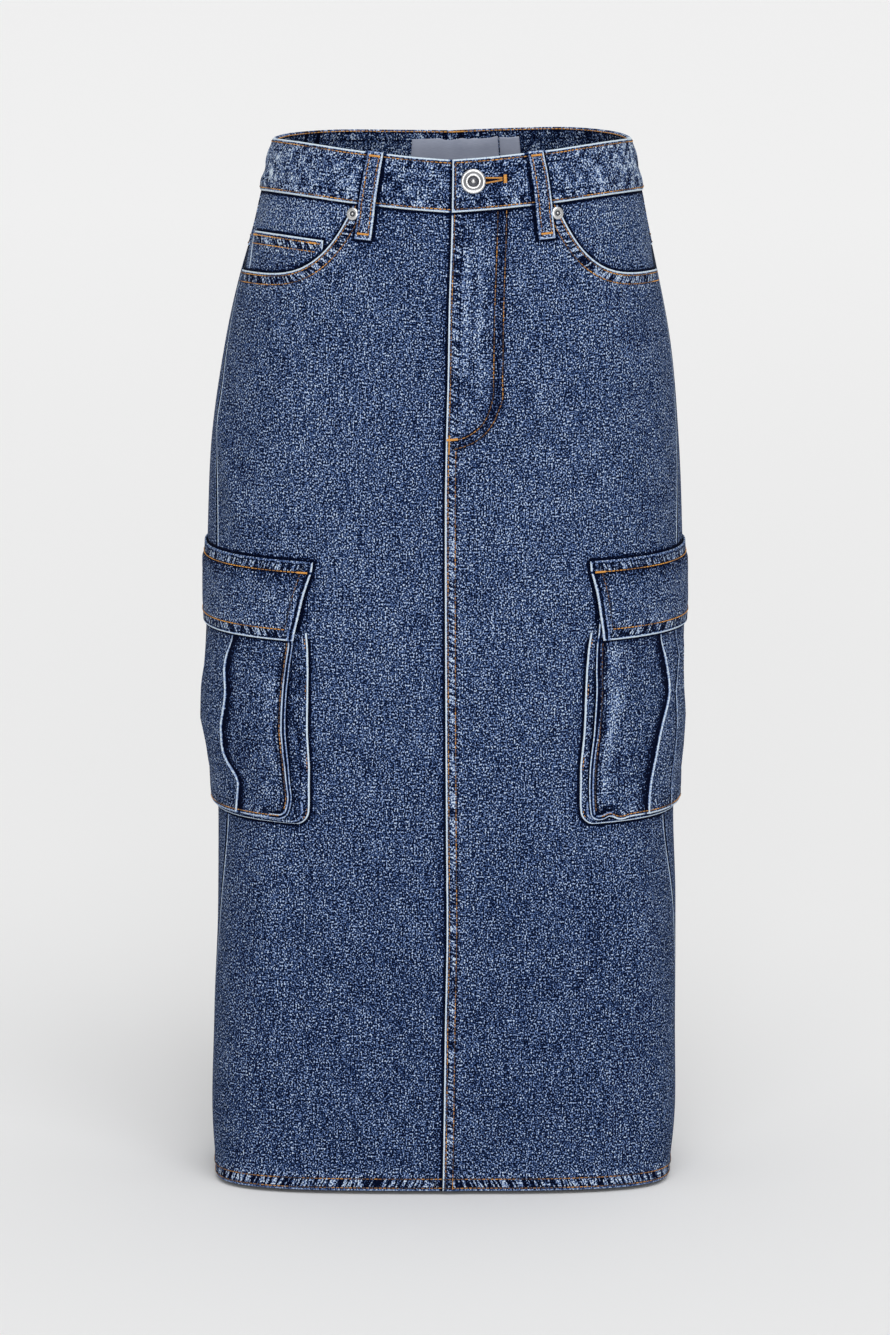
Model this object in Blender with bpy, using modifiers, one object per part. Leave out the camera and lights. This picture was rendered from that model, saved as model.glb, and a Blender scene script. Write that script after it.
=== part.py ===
"""A denim cargo midi skirt in the hollow form of a worn garment.

Run with: blender --background --python part.py
Units are metres, +Z up. The front faces -Y, and the wearer's left is +X.
The origin is the centre of the waist opening, half way down the waistband.

Every cloth piece is laid on one lofted surface, the garment's own form. A place on
it has two coordinates. v runs round the skirt, from 0 at the centre front to 1 at the
wearer's left side seam and 2 at the centre back, and to -1 and -2 on the right. r is
the height that the place would have at the side seam: the waist dips at the centre
front and back, so height() turns r into the real height z. A piece is a wall between
two distances out from that form.
"""

import math
from functools import lru_cache

import bmesh
import bpy
import numpy as np
from mathutils import Vector

COLLECTION = "denim_skirt"
SIDES = ((1, "left"), (-1, "right"))

# ---- driving sizes ----------------------------------------------------------

SKIRT_LENGTH = 0.8075
BAND_HEIGHT = 0.040
BAND_TOP_Z = 0.0205
BAND_SEAM_Z = BAND_TOP_Z - BAND_HEIGHT
HEM_Z = BAND_TOP_Z - SKIRT_LENGTH
HEM_HEIGHT = 0.013
HEM_STEP = 0.0005

# The gap that a level seam leaves, half of an upright seam's gap in v, and the gap
# between two layers of cloth.
SEAM_GAP = 0.0003
SEAM_SHARE = 0.0009
LAYER_GAP = 0.00045

# DENIM is the cloth's thickness. The band's and the hem's distances are out and in
# from the form.
DENIM = 0.0012
BAND_OUT = 0.0016
BAND_IN = 0.0016
HEM_OUT = 0.0006
HEM_IN = 0.0019

# The fly's edge is at v = 0. The front's pockets and loops are set out about a line
# this much of v to the wearer's left of it.
FRONT_SHIFT = 0.014

FLY_LENGTH = 0.182
FLY_RAISE = 0.0013
FLY_WIDTH = 0.033
FLY_FADE = 0.012
FLY_SHIELD_LENGTH = 0.175
FLY_SHIELD_COLUMNS = (-0.03, 0.0, 0.045, 0.10, 0.15, 0.185)
CENTRE_RAISE = 0.0008
CENTRE_RAISE_WIDTH = 0.010
BAND_LAP_COLUMNS = (0.045, 0.10, 0.15, 0.185)
BAND_LAP_RAISE = BAND_OUT + BAND_IN + SEAM_GAP
BAND_LAP_WIDTH = 0.0375
BAND_LAP_FADE = 0.021

MOUTH_START = 0.400
MOUTH_DROP = 0.0605
MOUTH_ROUNDING = 5.5
MOUTH_STEPS = (0.0, 0.025, 0.06, 0.10)
FACING_START = 0.35
FACING_UNDERLAP = 0.016
FACING_RISE = 0.0014
FACING_RISE_START = 0.004
FACING_RISE_LENGTH = 0.022

COIN_COLUMNS = (0.496, 0.55, 0.61, 0.67, 0.72, 0.77, 0.82, 0.87, 0.907)
COIN_TOP_Z = -0.050
COIN_CLEARANCE = 0.0008

YOKE_SIDE_DROP = 0.042
YOKE_CENTRE_DROP = 0.072

LOOP_WIDTH = 0.0127
LOOP_THICKNESS = 0.0020
LOOP_BELOW_SEAM = 0.0262
LOOP_ABOVE_BAND = 0.0006
LOOP_STEP = 0.007
FRONT_LOOP_TOP = 0.326
FRONT_LOOP_BOTTOM = 0.349
BACK_LOOP = 1.38

LABEL_DROP = 0.0065
LABEL_THICKNESS = 0.0010
LABEL_GAP = 0.0007
LABEL_HEIGHT = 0.030
TAB_HEIGHT = 0.022
LABEL_COLUMNS = (1.81, 1.905, 2.0, 2.095, 2.165)
TAB_COLUMNS = (1.72, 1.76, 1.80)

POCKET_SEWN_WALL = 0.0010
POCKET_LAYER_GAP = 0.0004
POCKET_ON_SKIRT = 0.0005
GUSSET_HALF_WIDTH = 0.097
GUSSET_TOP_Z = -0.350
GUSSET_BOTTOM_Z = -0.4995
GUSSET_RADIUS = 0.010
RISER_INSET = 0.002
RISER_RADIUS = 0.003
CORNER_STEPS = 4
BOTTOM_STEPS = 18
FACE_HALF_WIDTH = 0.085
FACE_SHIFT = 0.004
FACE_BOTTOM_Z = -0.4965
PLEAT_HALF_WIDTH = 0.027
PLEAT_RAISE = 0.0013
PLEAT_START_Z = -0.360
PLEAT_START_LENGTH = 0.020
FLAP_THICKNESS = 0.0014

BUTTON_V = 0.082
BUTTON_R = 0.003
RIVET_V = 0.399
RIVET_DROP = 0.0078
FASTENER_GAP = 0.0003

# The form's level sections. half_width and centre_x are across the skirt; front_y,
# side_y and back_y are where its front, widest line and back lie; front_n and back_n
# say how square the section is (2 is an ellipse); seam_right and seam_left are the
# side seams' places, as y.
SECTION_COLUMNS = (
    "z", "half_width", "centre_x", "front_y", "side_y", "back_y", "front_n", "back_n",
    "seam_right", "seam_left",
)
SECTIONS = (
    (0.030, 0.1335, 0.0055, -0.0950, 0.000, 0.0950, 2.25, 2.10, -0.002, -0.002),
    (0.007, 0.1408, 0.0055, -0.0985, 0.000, 0.0970, 2.25, 2.10, -0.003, -0.003),
    (-0.018, 0.1462, 0.0052, -0.1020, 0.000, 0.0995, 2.25, 2.15, -0.004, -0.004),
    (-0.043, 0.1515, 0.0047, -0.1060, 0.001, 0.1040, 2.25, 2.20, -0.006, -0.005),
    (-0.090, 0.1629, 0.0030, -0.1110, 0.004, 0.1150, 2.25, 2.20, -0.011, -0.006),
    (-0.152, 0.1748, 0.0019, -0.1150, 0.009, 0.1270, 2.30, 2.25, -0.019, -0.008),
    (-0.215, 0.1815, 0.0003, -0.1160, 0.014, 0.1320, 2.35, 2.30, -0.028, -0.014),
    (-0.298, 0.1850, 0.0000, -0.1155, 0.016, 0.1290, 2.40, 2.35, -0.036, -0.026),
    (-0.400, 0.1822, 0.0002, -0.1150, 0.013, 0.1230, 2.50, 2.40, -0.038, -0.036),
    (-0.516, 0.1778, 0.0008, -0.1145, 0.006, 0.1170, 2.70, 2.50, -0.047, -0.048),
    (-0.580, 0.1790, 0.0012, -0.1140, -0.006, 0.1140, 2.90, 2.60, -0.042, -0.038),
    (-0.660, 0.1799, -0.0002, -0.1135, -0.016, 0.1100, 3.20, 2.70, -0.034, -0.034),
    (-0.740, 0.1809, -0.0012, -0.1130, -0.023, 0.1070, 3.50, 2.80, -0.033, -0.033),
    (-0.800, 0.1757, -0.0022, -0.1115, -0.026, 0.1040, 3.60, 2.90, -0.032, -0.032),
)

# The steps that a surface normal is taken over, and the points in each quarter of a
# section.
NORMAL_STEP_V = 0.012
NORMAL_STEP_Z = 0.003
RING_STEPS = 240

# How far the waist stands above or below its height at the side seams. The back of the
# waist also tilts, up on the left and down on the right. The lift and the tilt fade out
# between LIFT_FULL_Z and LIFT_END_Z.
LIFT_COLUMNS = ("v", "lift")
LIFTS = (
    (0.00, -0.0054), (0.15, -0.0034), (0.30, -0.0009), (0.42, 0.0008), (0.56, 0.0028),
    (0.70, 0.0036), (0.85, 0.0026), (1.00, 0.0000), (1.25, -0.0004), (1.50, -0.0011),
    (1.75, -0.0034), (2.00, -0.0052),
)
BACK_TILT = 0.0010
LIFT_FULL_Z = -0.020
LIFT_END_Z = -0.240

# The largest soft folds: where each runs and how far it stands out. FOLD_END is how
# far a fold takes to fade past its ends, and the girths turn v into a length.
FOLD_END = 0.02
FRONT_GIRTH = 0.20
BACK_GIRTH = 0.28
FOLD_COLUMNS = ("v_top", "z_top", "v_bottom", "z_bottom", "half_width", "height")
FOLDS = (
    (-0.97, -0.200, -0.85, -0.258, 0.014, 0.0022),
    (-0.70, -0.545, -0.66, -0.630, 0.016, 0.0020),
    (0.76, -0.545, 0.72, -0.620, 0.016, 0.0018),
    (-1.30, -0.590, -1.36, -0.760, 0.026, 0.0030),
    (1.28, -0.580, 1.36, -0.750, 0.026, 0.0030),
    (-1.72, -0.330, -1.64, -0.560, 0.030, 0.0026),
    (1.70, -0.350, 1.62, -0.600, 0.030, 0.0026),
)

# Columns of the walls, as shares of the way from one seam to the next, and the
# heights of their rows below the hips. Above those, each piece has UPPER_ROWS more.
FRONT_COLUMNS = (0.0, 0.045, 0.10, 0.15, 0.185, 0.23, 0.28, 0.35)
SIDE_COLUMNS = (0.55, 0.61, 0.67, 0.72, 0.77, 0.82, 0.87, 0.93, 1.0)
BACK_COLUMNS = (
    1.0, 1.06, 1.12, 1.18, 1.24, 1.30, 1.37, 1.45, 1.54, 1.63, 1.72, 1.81, 1.905, 2.0,
)
LOWER_ROWS = (
    HEM_Z, HEM_Z + HEM_HEIGHT - HEM_STEP, HEM_Z + HEM_HEIGHT + HEM_STEP, -0.730, -0.680,
    -0.630, -0.590, -0.555, -0.525, -0.500, -0.470, -0.435, -0.395, -0.350, -0.305,
    -0.262, -0.222, -0.185, -0.150, -0.120,
)
UPPER_ROWS = 4

# How far each belt loop's back stands off what it lies on, from its lower end up.
LOOP_COLUMNS = ("share", "lift")
LOOP_LIFTS = (
    (0.00, 0.0000), (0.08, 0.0001), (0.20, 0.0007), (0.34, 0.0013), (0.46, 0.0016),
    (0.62, 0.0017), (0.78, 0.0011), (0.92, 0.0001), (1.00, 0.0000),
)

# Each side's cargo pocket at each height: how far in front of the side seam its middle
# lies, how far its face's edge stands from the skirt, how far the middle of the face
# bulges beyond that, and how far the box pleat's folds lie from the pocket's middle.
FACE_COLUMNS = ("z", "middle", "depth", "fullness", "pleat")
FACES = {
    -1: (
        (-0.3085, 0.0000, 0.0013, 0.0000, 0.0290), (-0.3300, 0.0000, 0.0018, 0.0000, 0.0300),
        (-0.3500, 0.0000, 0.0029, 0.0000, 0.0305), (-0.3620, 0.0010, 0.0030, 0.0000, 0.0262),
        (-0.3800, 0.0010, 0.0044, 0.0004, 0.0205), (-0.4050, -0.0004, 0.0056, 0.0026, 0.0250),
        (-0.4300, -0.0032, 0.0057, 0.0044, 0.0222), (-0.4540, -0.0048, 0.0051, 0.0016, 0.0205),
        (-0.4710, -0.0070, 0.0040, 0.0003, 0.0335), (-0.4850, -0.0082, 0.0040, 0.0003, 0.0328),
        (-0.4965, -0.0098, 0.0036, 0.0000, 0.0320),
    ),
    1: (
        (-0.3085, 0.0000, 0.0013, 0.0000, 0.0290), (-0.3300, 0.0000, 0.0018, 0.0000, 0.0295),
        (-0.3500, 0.0000, 0.0029, 0.0000, 0.0297), (-0.3620, 0.0010, 0.0029, 0.0000, 0.0270),
        (-0.3800, 0.0010, 0.0034, 0.0000, 0.0205), (-0.4050, -0.0004, 0.0048, 0.0000, 0.0172),
        (-0.4300, -0.0032, 0.0055, 0.0002, 0.0278), (-0.4540, -0.0048, 0.0050, 0.0002, 0.0318),
        (-0.4710, -0.0070, 0.0040, 0.0000, 0.0350), (-0.4850, -0.0082, 0.0042, 0.0000, 0.0375),
        (-0.4965, -0.0098, 0.0036, 0.0000, 0.0385),
    ),
}
PLEAT_COLUMNS = (0.0, 0.009, 0.018)
FACE_EDGE_COLUMNS = (0.036, 0.045, 0.054, 0.062, 0.070, 0.078)

# The flap: half its width and its back's distance from the skirt, at each height.
FLAP_COLUMNS = ("z", "half_width", "back")
FLAP_ROWS = (
    (-0.2945, 0.1035, 0.0007), (-0.3030, 0.1020, 0.0008), (-0.3075, 0.1005, 0.0018),
    (-0.3200, 0.0960, 0.0021), (-0.3380, 0.0915, 0.0028), (-0.3565, 0.0867, 0.0035),
)
FLAP_STEPS = 20

# Turned profiles, from the top of the axis outward and down, in millimetres.
BUTTON_PROFILE = (
    (0.0, 2.9), (1.2, 2.6), (1.8, 1.7), (3.3, 1.6), (3.9, 3.2), (5.1, 3.6), (5.9, 3.1),
    (6.6, 3.1), (7.6, 3.6), (8.8, 3.3), (9.65, 2.3), (9.3, 1.2), (7.0, 0.7), (3.2, 0.7),
    (3.2, 0.0), (0.0, 0.0),
)
RIVET_PROFILE = (
    (0.0, 1.3), (0.9, 1.1), (1.3, 0.6), (1.8, 0.6), (2.2, 1.15), (3.5, 1.15),
    (4.5, 0.75), (4.9, 0.3), (4.7, 0.0), (0.0, 0.0),
)
BUTTON_TURNS = 32
RIVET_TURNS = 20
MERGE_WITHIN = 0.0001
MILLIMETRE = 0.001

# Base colour, roughness and metallic value of each finish.
FINISHES = {
    "denim": ((0.075, 0.125, 0.235), 0.85, 0.0),
    "denim_inside": ((0.10, 0.13, 0.20), 0.85, 0.0),
    "steel": ((0.62, 0.61, 0.60), 0.30, 1.0),
    "label_cloth": ((0.42, 0.41, 0.48), 0.70, 0.0),
}


# ---- the garment's form -----------------------------------------------------

SECTION_TABLE = np.array(SECTIONS[::-1])
LIFT_TABLE = np.array(LIFTS)
ONCE_ROUND = 4.0


def smooth_step(share):
    """0 below 0, 1 above 1, and an even rise between."""
    share = min(max(share, 0.0), 1.0)
    return share * share * (3.0 - 2.0 * share)


def smooth_row(table, at):
    """The row at one value of a table's rising first column, on a smooth line."""
    keys = table[:, 0]
    slopes = np.gradient(table, keys, axis=0)
    low = min(max(int(np.searchsorted(keys, at)) - 1, 0), len(keys) - 2)
    step = keys[low + 1] - keys[low]
    t = (at - keys[low]) / step
    return (
        (2 * t**3 - 3 * t**2 + 1) * table[low]
        + (t**3 - 2 * t**2 + t) * step * slopes[low]
        + (3 * t**2 - 2 * t**3) * table[low + 1]
        + (t**3 - t**2) * step * slopes[low + 1]
    )


@lru_cache(maxsize=None)
def section(z):
    """The level section's sizes at height z."""
    return dict(zip(SECTION_COLUMNS, smooth_row(SECTION_TABLE, z)))


@lru_cache(maxsize=None)
def half_ring(z, side):
    """One half of the section at z, from the centre front to the centre back.

    Returns the arc length, x and y of its points, and the side seam's arc length.
    """
    size = section(z)
    turn = np.linspace(0.0, math.pi / 2, RING_STEPS)
    sine = np.clip(np.sin(turn), 0.0, 1.0)
    cosine = np.clip(np.cos(turn), 0.0, 1.0)
    front_power = 2.0 / size["front_n"]
    back_power = 2.0 / size["back_n"]
    front_depth = size["side_y"] - size["front_y"]
    back_depth = size["back_y"] - size["side_y"]
    x = size["half_width"] * np.concatenate((sine**front_power, cosine[1:] ** back_power))
    y = size["side_y"] + np.concatenate(
        (-front_depth * cosine**front_power, back_depth * sine[1:] ** back_power)
    )
    arc = np.concatenate(((0.0,), np.cumsum(np.hypot(np.diff(x), np.diff(y)))))
    seam_y = size["seam_left"] if side > 0 else size["seam_right"]
    return arc, x, y, float(np.interp(seam_y, y, arc))


def wrapped(v):
    """v brought into the range from -2 to 2."""
    return (v + ONCE_ROUND / 2.0) % ONCE_ROUND - ONCE_ROUND / 2.0


def on_ring(v, z):
    """The form's point at v and height z, before any fold."""
    v = wrapped(v)
    side = -1 if v < 0 else 1
    level = round(z, 5)
    arc, x, y, seam = half_ring(level, side)
    share = abs(v)
    along = share * seam if share <= 1 else seam + (share - 1) * (arc[-1] - seam)
    centre = section(level)["centre_x"]
    return np.array((side * np.interp(along, arc, x) + centre, np.interp(along, arc, y), z))


def outward(v, z):
    """The form's unit normal at v and height z."""
    around = on_ring(v + NORMAL_STEP_V, z) - on_ring(v - NORMAL_STEP_V, z)
    upward = on_ring(v, z + NORMAL_STEP_Z) - on_ring(v, z - NORMAL_STEP_Z)
    normal = np.cross(around, upward)
    return normal / np.linalg.norm(normal)


def along_table(table, place_in_table):
    """The values at one place in a table whose first column rises or falls steadily."""
    rows = np.array(sorted(table))
    return [float(np.interp(place_in_table, rows[:, 0], column)) for column in rows.T[1:]]


@lru_cache(maxsize=None)
def lift(v):
    """How far the waist stands above its height at the side seams."""
    v = wrapped(v)
    tilt = math.copysign(BACK_TILT, v) * math.sin(math.pi * max(abs(v) - 1.0, 0.0))
    return float(smooth_row(LIFT_TABLE, abs(v))[1]) + tilt


def height(v, r):
    """The real height of a place whose height at the side seam would be r."""
    return r + lift(v) * smooth_step((r - LIFT_END_Z) / (LIFT_FULL_Z - LIFT_END_Z))


def fold_rise(v, z):
    """How far the folds lift the cloth at v and z."""
    rise = 0.0
    v = wrapped(v)
    girth = FRONT_GIRTH if abs(v) < 1 else BACK_GIRTH
    for fold in FOLDS:
        size = dict(zip(FOLD_COLUMNS, fold))
        length = size["z_top"] - size["z_bottom"]
        share = (size["z_top"] - z) / length
        line = size["v_top"] + share * (size["v_bottom"] - size["v_top"])
        across = (v - line) * girth / size["half_width"]
        beyond = max(-share, share - 1.0, 0.0) * length / FOLD_END
        rise += size["height"] * math.exp(-across * across - beyond * beyond)
    return rise


def place(v, r, out):
    """The point a distance out from the form at the garment's own coordinates v and r."""
    z = height(v, r)
    return on_ring(v, z) + outward(v, z) * (out + fold_rise(v, z))


def seam_length(v, r):
    """The arc length from the centre front to the side seam, on v's side."""
    return half_ring(round(height(v, r), 5), -1 if v < 0 else 1)[3]


# ---- edges and raised places ------------------------------------------------

WAIST_EDGE_Z = BAND_SEAM_Z - SEAM_GAP


def mouth_start(side):
    """Where the hip pocket's mouth leaves the waistband."""
    return MOUTH_START + side * FRONT_SHIFT


def mouth(v):
    """The height of the hip pocket's mouth, or of the waist edge in front of it."""
    start = mouth_start(-1 if v < 0 else 1)
    share = max(0.0, (abs(v) - start) / (1.0 - start))
    return WAIST_EDGE_Z - MOUTH_DROP * (1.0 - (1.0 - share) ** MOUTH_ROUNDING)


def yoke_seam(v):
    """The height of the seam under the back yoke."""
    share = abs(wrapped(v)) - 1.0
    return BAND_SEAM_Z - YOKE_SIDE_DROP - share * (YOKE_CENTRE_DROP - YOKE_SIDE_DROP)


def front_raise(v, r):
    """How far the fly and the centre seam's turned edge stand up on the left front."""
    if v < 0:
        return 0.0
    along = v * seam_length(v, r)
    below = BAND_SEAM_Z - r
    beside = 1.0 - smooth_step((along - FLY_WIDTH) / FLY_FADE)
    above = 1.0 - smooth_step((below - FLY_LENGTH + FLY_FADE) / FLY_FADE)
    seam = 1.0 - smooth_step((along - CENTRE_RAISE_WIDTH) / CENTRE_RAISE_WIDTH)
    return max(FLY_RAISE * beside * above, CENTRE_RAISE * seam)


def band_raise(v):
    """How far the waistband's outer end stands over its under end."""
    if v > 1.0 or v < 0.0:
        return 0.0
    along = v * seam_length(v, 0.0)
    return BAND_LAP_RAISE * (1.0 - smooth_step((along - BAND_LAP_WIDTH) / BAND_LAP_FADE))


def facing_front(v, r):
    """How far the hip pocket's facing stands, behind the mouth and above it."""
    above = r - mouth(v) - FACING_RISE_START
    return FACING_RISE * smooth_step(above / FACING_RISE_LENGTH) - DENIM - LAYER_GAP


# ---- building ---------------------------------------------------------------


def clear_scene():
    """Remove every object."""
    for item in list(bpy.data.objects):
        bpy.data.objects.remove(item, do_unlink=True)


def finish_material(name):
    """The Principled material of one finish."""
    material = bpy.data.materials.get(name)
    if material:
        return material
    colour, roughness, metallic = FINISHES[name]
    material = bpy.data.materials.new(name)
    material.use_nodes = True
    shader = material.node_tree.nodes["Principled BSDF"]
    shader.inputs["Base Color"].default_value = (*colour, 1.0)
    shader.inputs["Roughness"].default_value = roughness
    shader.inputs["Metallic"].default_value = metallic
    return material


def add_piece(name, mesh, finish):
    """Put a mesh in the skirt's collection as a named piece."""
    mesh.materials.append(finish_material(finish))
    piece = bpy.data.objects.new(name, mesh)
    bpy.data.collections[COLLECTION].objects.link(piece)
    return piece


def add_shape(name, shape, finish):
    """Turn a closed bmesh's faces outward and add it as a piece."""
    bmesh.ops.recalc_face_normals(shape, faces=shape.faces)
    mesh = bpy.data.meshes.new(name)
    shape.to_mesh(mesh)
    shape.free()
    return add_piece(name, mesh, finish)


def closed_wall(name, outside, inside, finish):
    """A closed wall between two grids of points with the same rows and columns."""
    shape = bmesh.new()
    outer = [[shape.verts.new(point) for point in column] for column in outside]
    inner = [[shape.verts.new(point) for point in column] for column in inside]
    last_column = len(outer) - 1
    last_row = len(outer[0]) - 1
    for layer in (outer, inner):
        for left, right in zip(layer, layer[1:]):
            for row in range(last_row):
                shape.faces.new((left[row], right[row], right[row + 1], left[row + 1]))
    rim = [(column, 0) for column in range(last_column)]
    rim += [(last_column, row) for row in range(last_row)]
    rim += [(column, last_row) for column in range(last_column, 0, -1)]
    rim += [(0, row) for row in range(last_row, 0, -1)]
    for (a, b), (c, d) in zip(rim, rim[1:] + rim[:1]):
        shape.faces.new((outer[a][b], outer[c][d], inner[c][d], inner[a][b]))
    return add_shape(name, shape, finish)


def cloth(name, columns, rows_at, outer, inner, finish="denim", spot=place):
    """A cloth wall over a grid of places.

    rows_at gives a column's heights, outer and inner give the wall's two distances
    out at a column and height, and spot turns those three numbers into a point.
    """
    outside = [[spot(c, r, outer(c, r)) for r in rows_at(c)] for c in columns]
    inside = [[spot(c, r, inner(c, r)) for r in rows_at(c)] for c in columns]
    return closed_wall(name, outside, inside, finish)


def evenly(low, high, steps):
    """steps + 1 numbers from low to high."""
    return [low + (high - low) * step / steps for step in range(steps + 1)]


def front_columns(side):
    """A front panel's columns from the centre front to the side seam, unsigned."""
    steps = tuple(mouth_start(side) + step for step in MOUTH_STEPS)
    return FRONT_COLUMNS + steps + SIDE_COLUMNS


def signed(columns, side):
    """Columns on one side of the skirt, in rising order."""
    return sorted(side * column for column in columns)


def clear_of_seams(columns):
    """Columns whose first and last keep half a seam's gap."""
    return [columns[0] + SEAM_SHARE, *columns[1:-1], columns[-1] - SEAM_SHARE]


def panel_rows(top):
    """A panel's rows from the hem up to its top edge."""
    return list(LOWER_ROWS) + evenly(LOWER_ROWS[-1], top, UPPER_ROWS)[1:]


def hem_outer(v, r):
    """A panel's outside: its own place, and a little out where the hem is turned."""
    return front_raise(v, r) + (HEM_OUT if r < HEM_Z + HEM_HEIGHT else 0.0)


def hem_inner(v, r):
    """A panel's inside, with the hem's turned layer."""
    return front_raise(v, r) - (HEM_IN if r < HEM_Z + HEM_HEIGHT else DENIM)


# ---- the pieces -------------------------------------------------------------


def build_panels(side, word):
    """The front and back panels and the yoke of one side."""
    columns = clear_of_seams(signed(front_columns(side), side))
    cloth(f"front_{word}", columns, lambda v: panel_rows(mouth(v)), hem_outer, hem_inner)
    columns = clear_of_seams(signed(BACK_COLUMNS, side))
    cloth(
        f"back_{word}",
        columns,
        lambda v: panel_rows(yoke_seam(v) - SEAM_GAP),
        lambda v, r: HEM_OUT if r < HEM_Z + HEM_HEIGHT else 0.0,
        lambda v, r: -HEM_IN if r < HEM_Z + HEM_HEIGHT else -DENIM,
    )
    cloth(
        f"yoke_{word}",
        columns,
        lambda v: evenly(yoke_seam(v), WAIST_EDGE_Z, UPPER_ROWS - 1),
        lambda v, r: 0.0,
        lambda v, r: -DENIM,
    )


def build_facing(side, word):
    """The cloth that shows behind one hip pocket's mouth."""
    columns = [column for column in front_columns(side) if column >= FACING_START]
    columns = signed(columns, side)
    seam = 0 if side < 0 else -1
    columns[seam] -= side * SEAM_SHARE
    cloth(
        f"pocket_facing_{word}",
        columns,
        lambda v: evenly(mouth(v) - FACING_UNDERLAP, WAIST_EDGE_Z, UPPER_ROWS),
        facing_front,
        lambda v, r: facing_front(v, r) - DENIM,
    )


def build_coin_pocket():
    """The small patch pocket on the right facing."""
    cloth(
        "coin_pocket",
        signed(COIN_COLUMNS, -1),
        lambda v: evenly(mouth(v) + COIN_CLEARANCE, COIN_TOP_Z, UPPER_ROWS),
        lambda v, r: facing_front(v, r) + LAYER_GAP + DENIM,
        lambda v, r: facing_front(v, r) + LAYER_GAP,
    )


def build_fly_shield():
    """The strip behind the fly."""
    behind = -DENIM - LAYER_GAP
    cloth(
        "fly_shield",
        FLY_SHIELD_COLUMNS,
        lambda v: evenly(BAND_SEAM_Z - FLY_SHIELD_LENGTH, WAIST_EDGE_Z, 2 * UPPER_ROWS),
        lambda v, r: behind,
        lambda v, r: behind - DENIM,
        "denim_inside",
    )


def build_waistband():
    """One strip round the waist, whose left end laps over its right end."""
    columns = list(front_columns(1)) + list(BACK_COLUMNS[1:])
    columns += [ONCE_ROUND - column for column in reversed(BACK_COLUMNS[:-1])]
    columns += [ONCE_ROUND - column for column in reversed(front_columns(-1)[:-1])]
    columns += [ONCE_ROUND + column for column in BAND_LAP_COLUMNS]
    columns[0] += SEAM_SHARE
    cloth(
        "waistband",
        columns,
        lambda v: evenly(BAND_SEAM_Z, BAND_TOP_Z, 2),
        lambda v, r: BAND_OUT + band_raise(v),
        lambda v, r: band_raise(v) - BAND_IN,
    )


def build_belt_loop(name, top_v, bottom_v):
    """A belt loop from just over the band down to the cloth below it."""
    low = BAND_SEAM_Z - LOOP_BELOW_SEAM
    high = BAND_TOP_Z + LOOP_ABOVE_BAND

    def back(r):
        share = (r - low) / (high - low)
        over_band = smooth_step((r - BAND_SEAM_Z + LOOP_STEP) / LOOP_STEP)
        (lift_off,) = along_table(LOOP_LIFTS, share)
        band = BAND_OUT + band_raise(top_v)
        return LAYER_GAP + band * over_band + lift_off

    def spot(across, r, out):
        share = (r - low) / (high - low)
        middle = bottom_v + share * (top_v - bottom_v)
        girth = half_ring(round(height(middle, r), 5), 1)[0][-1] / 2.0
        return place(middle + across / girth, r, out)

    shares = [row[0] for row in LOOP_LIFTS]
    cloth(
        name,
        evenly(-LOOP_WIDTH / 2, LOOP_WIDTH / 2, 2),
        lambda across: [low + share * (high - low) for share in shares],
        lambda across, r: back(r) + LOOP_THICKNESS,
        lambda across, r: back(r),
        spot=spot,
    )


def build_label(name, columns, tall):
    """A bare label on the inside of the waistband's back."""
    top = BAND_TOP_Z - LABEL_DROP
    front = -BAND_IN - LABEL_GAP
    cloth(
        name,
        columns,
        lambda v: evenly(top - tall, top, 2),
        lambda v, r: front,
        lambda v, r: front - LABEL_THICKNESS,
        "label_cloth",
    )


# ---- the cargo pockets ------------------------------------------------------


def pocket_row(side, r):
    """One side's pocket at height r: its middle, depth, fullness and pleat."""
    return dict(zip(FACE_COLUMNS[1:], along_table(FACES[side], r)))


def on_pocket(side, u, r, out):
    """The point u in front of a pocket's middle, or behind it where u is negative."""
    arc, _, _, seam = half_ring(round(height(side, r), 5), side)
    u += pocket_row(side, r)["middle"]
    length = seam if u >= 0 else arc[-1] - seam
    return place(side * (1.0 - u / length), r, out)


def face_half_width(side):
    """Half the width of a cargo pocket's face."""
    return FACE_HALF_WIDTH + side * FACE_SHIFT


def face_place(side, c, r):
    """A face column's distance from the pocket's middle, with the pleat's folds moved."""
    pleat = pocket_row(side, r)["pleat"]
    half = face_half_width(side)
    if abs(c) <= PLEAT_HALF_WIDTH:
        return c * pleat / PLEAT_HALF_WIDTH
    share = (abs(c) - PLEAT_HALF_WIDTH) / (half - PLEAT_HALF_WIDTH)
    return math.copysign(pleat + share * (half - pleat), c)


def face_front(side, c, r):
    """How far a cargo pocket's face stands out, with its pleat and its fullness."""
    row = pocket_row(side, r)
    below_flap = smooth_step((PLEAT_START_Z - r) / PLEAT_START_LENGTH)
    pleat = PLEAT_RAISE * below_flap if abs(c) <= PLEAT_HALF_WIDTH else 0.0
    middle = 1.0 - (c / face_half_width(side)) ** 2
    return row["depth"] + pleat + row["fullness"] * middle


def build_face(side, word):
    """A cargo pocket's face, with a box pleat down its middle."""
    fold = PLEAT_HALF_WIDTH + HEM_STEP
    half = (*PLEAT_COLUMNS, PLEAT_HALF_WIDTH, fold, *FACE_EDGE_COLUMNS, face_half_width(side))
    columns = [-c for c in reversed(half[1:])] + list(half)
    cloth(
        f"cargo_face_{word}",
        columns,
        lambda c: [row[0] for row in reversed(FACES[side])],
        lambda c, r: face_front(side, c, r),
        lambda c, r: face_front(side, c, r) - POCKET_SEWN_WALL,
        spot=lambda c, r, out: on_pocket(side, face_place(side, c, r), r, out),
    )


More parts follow.
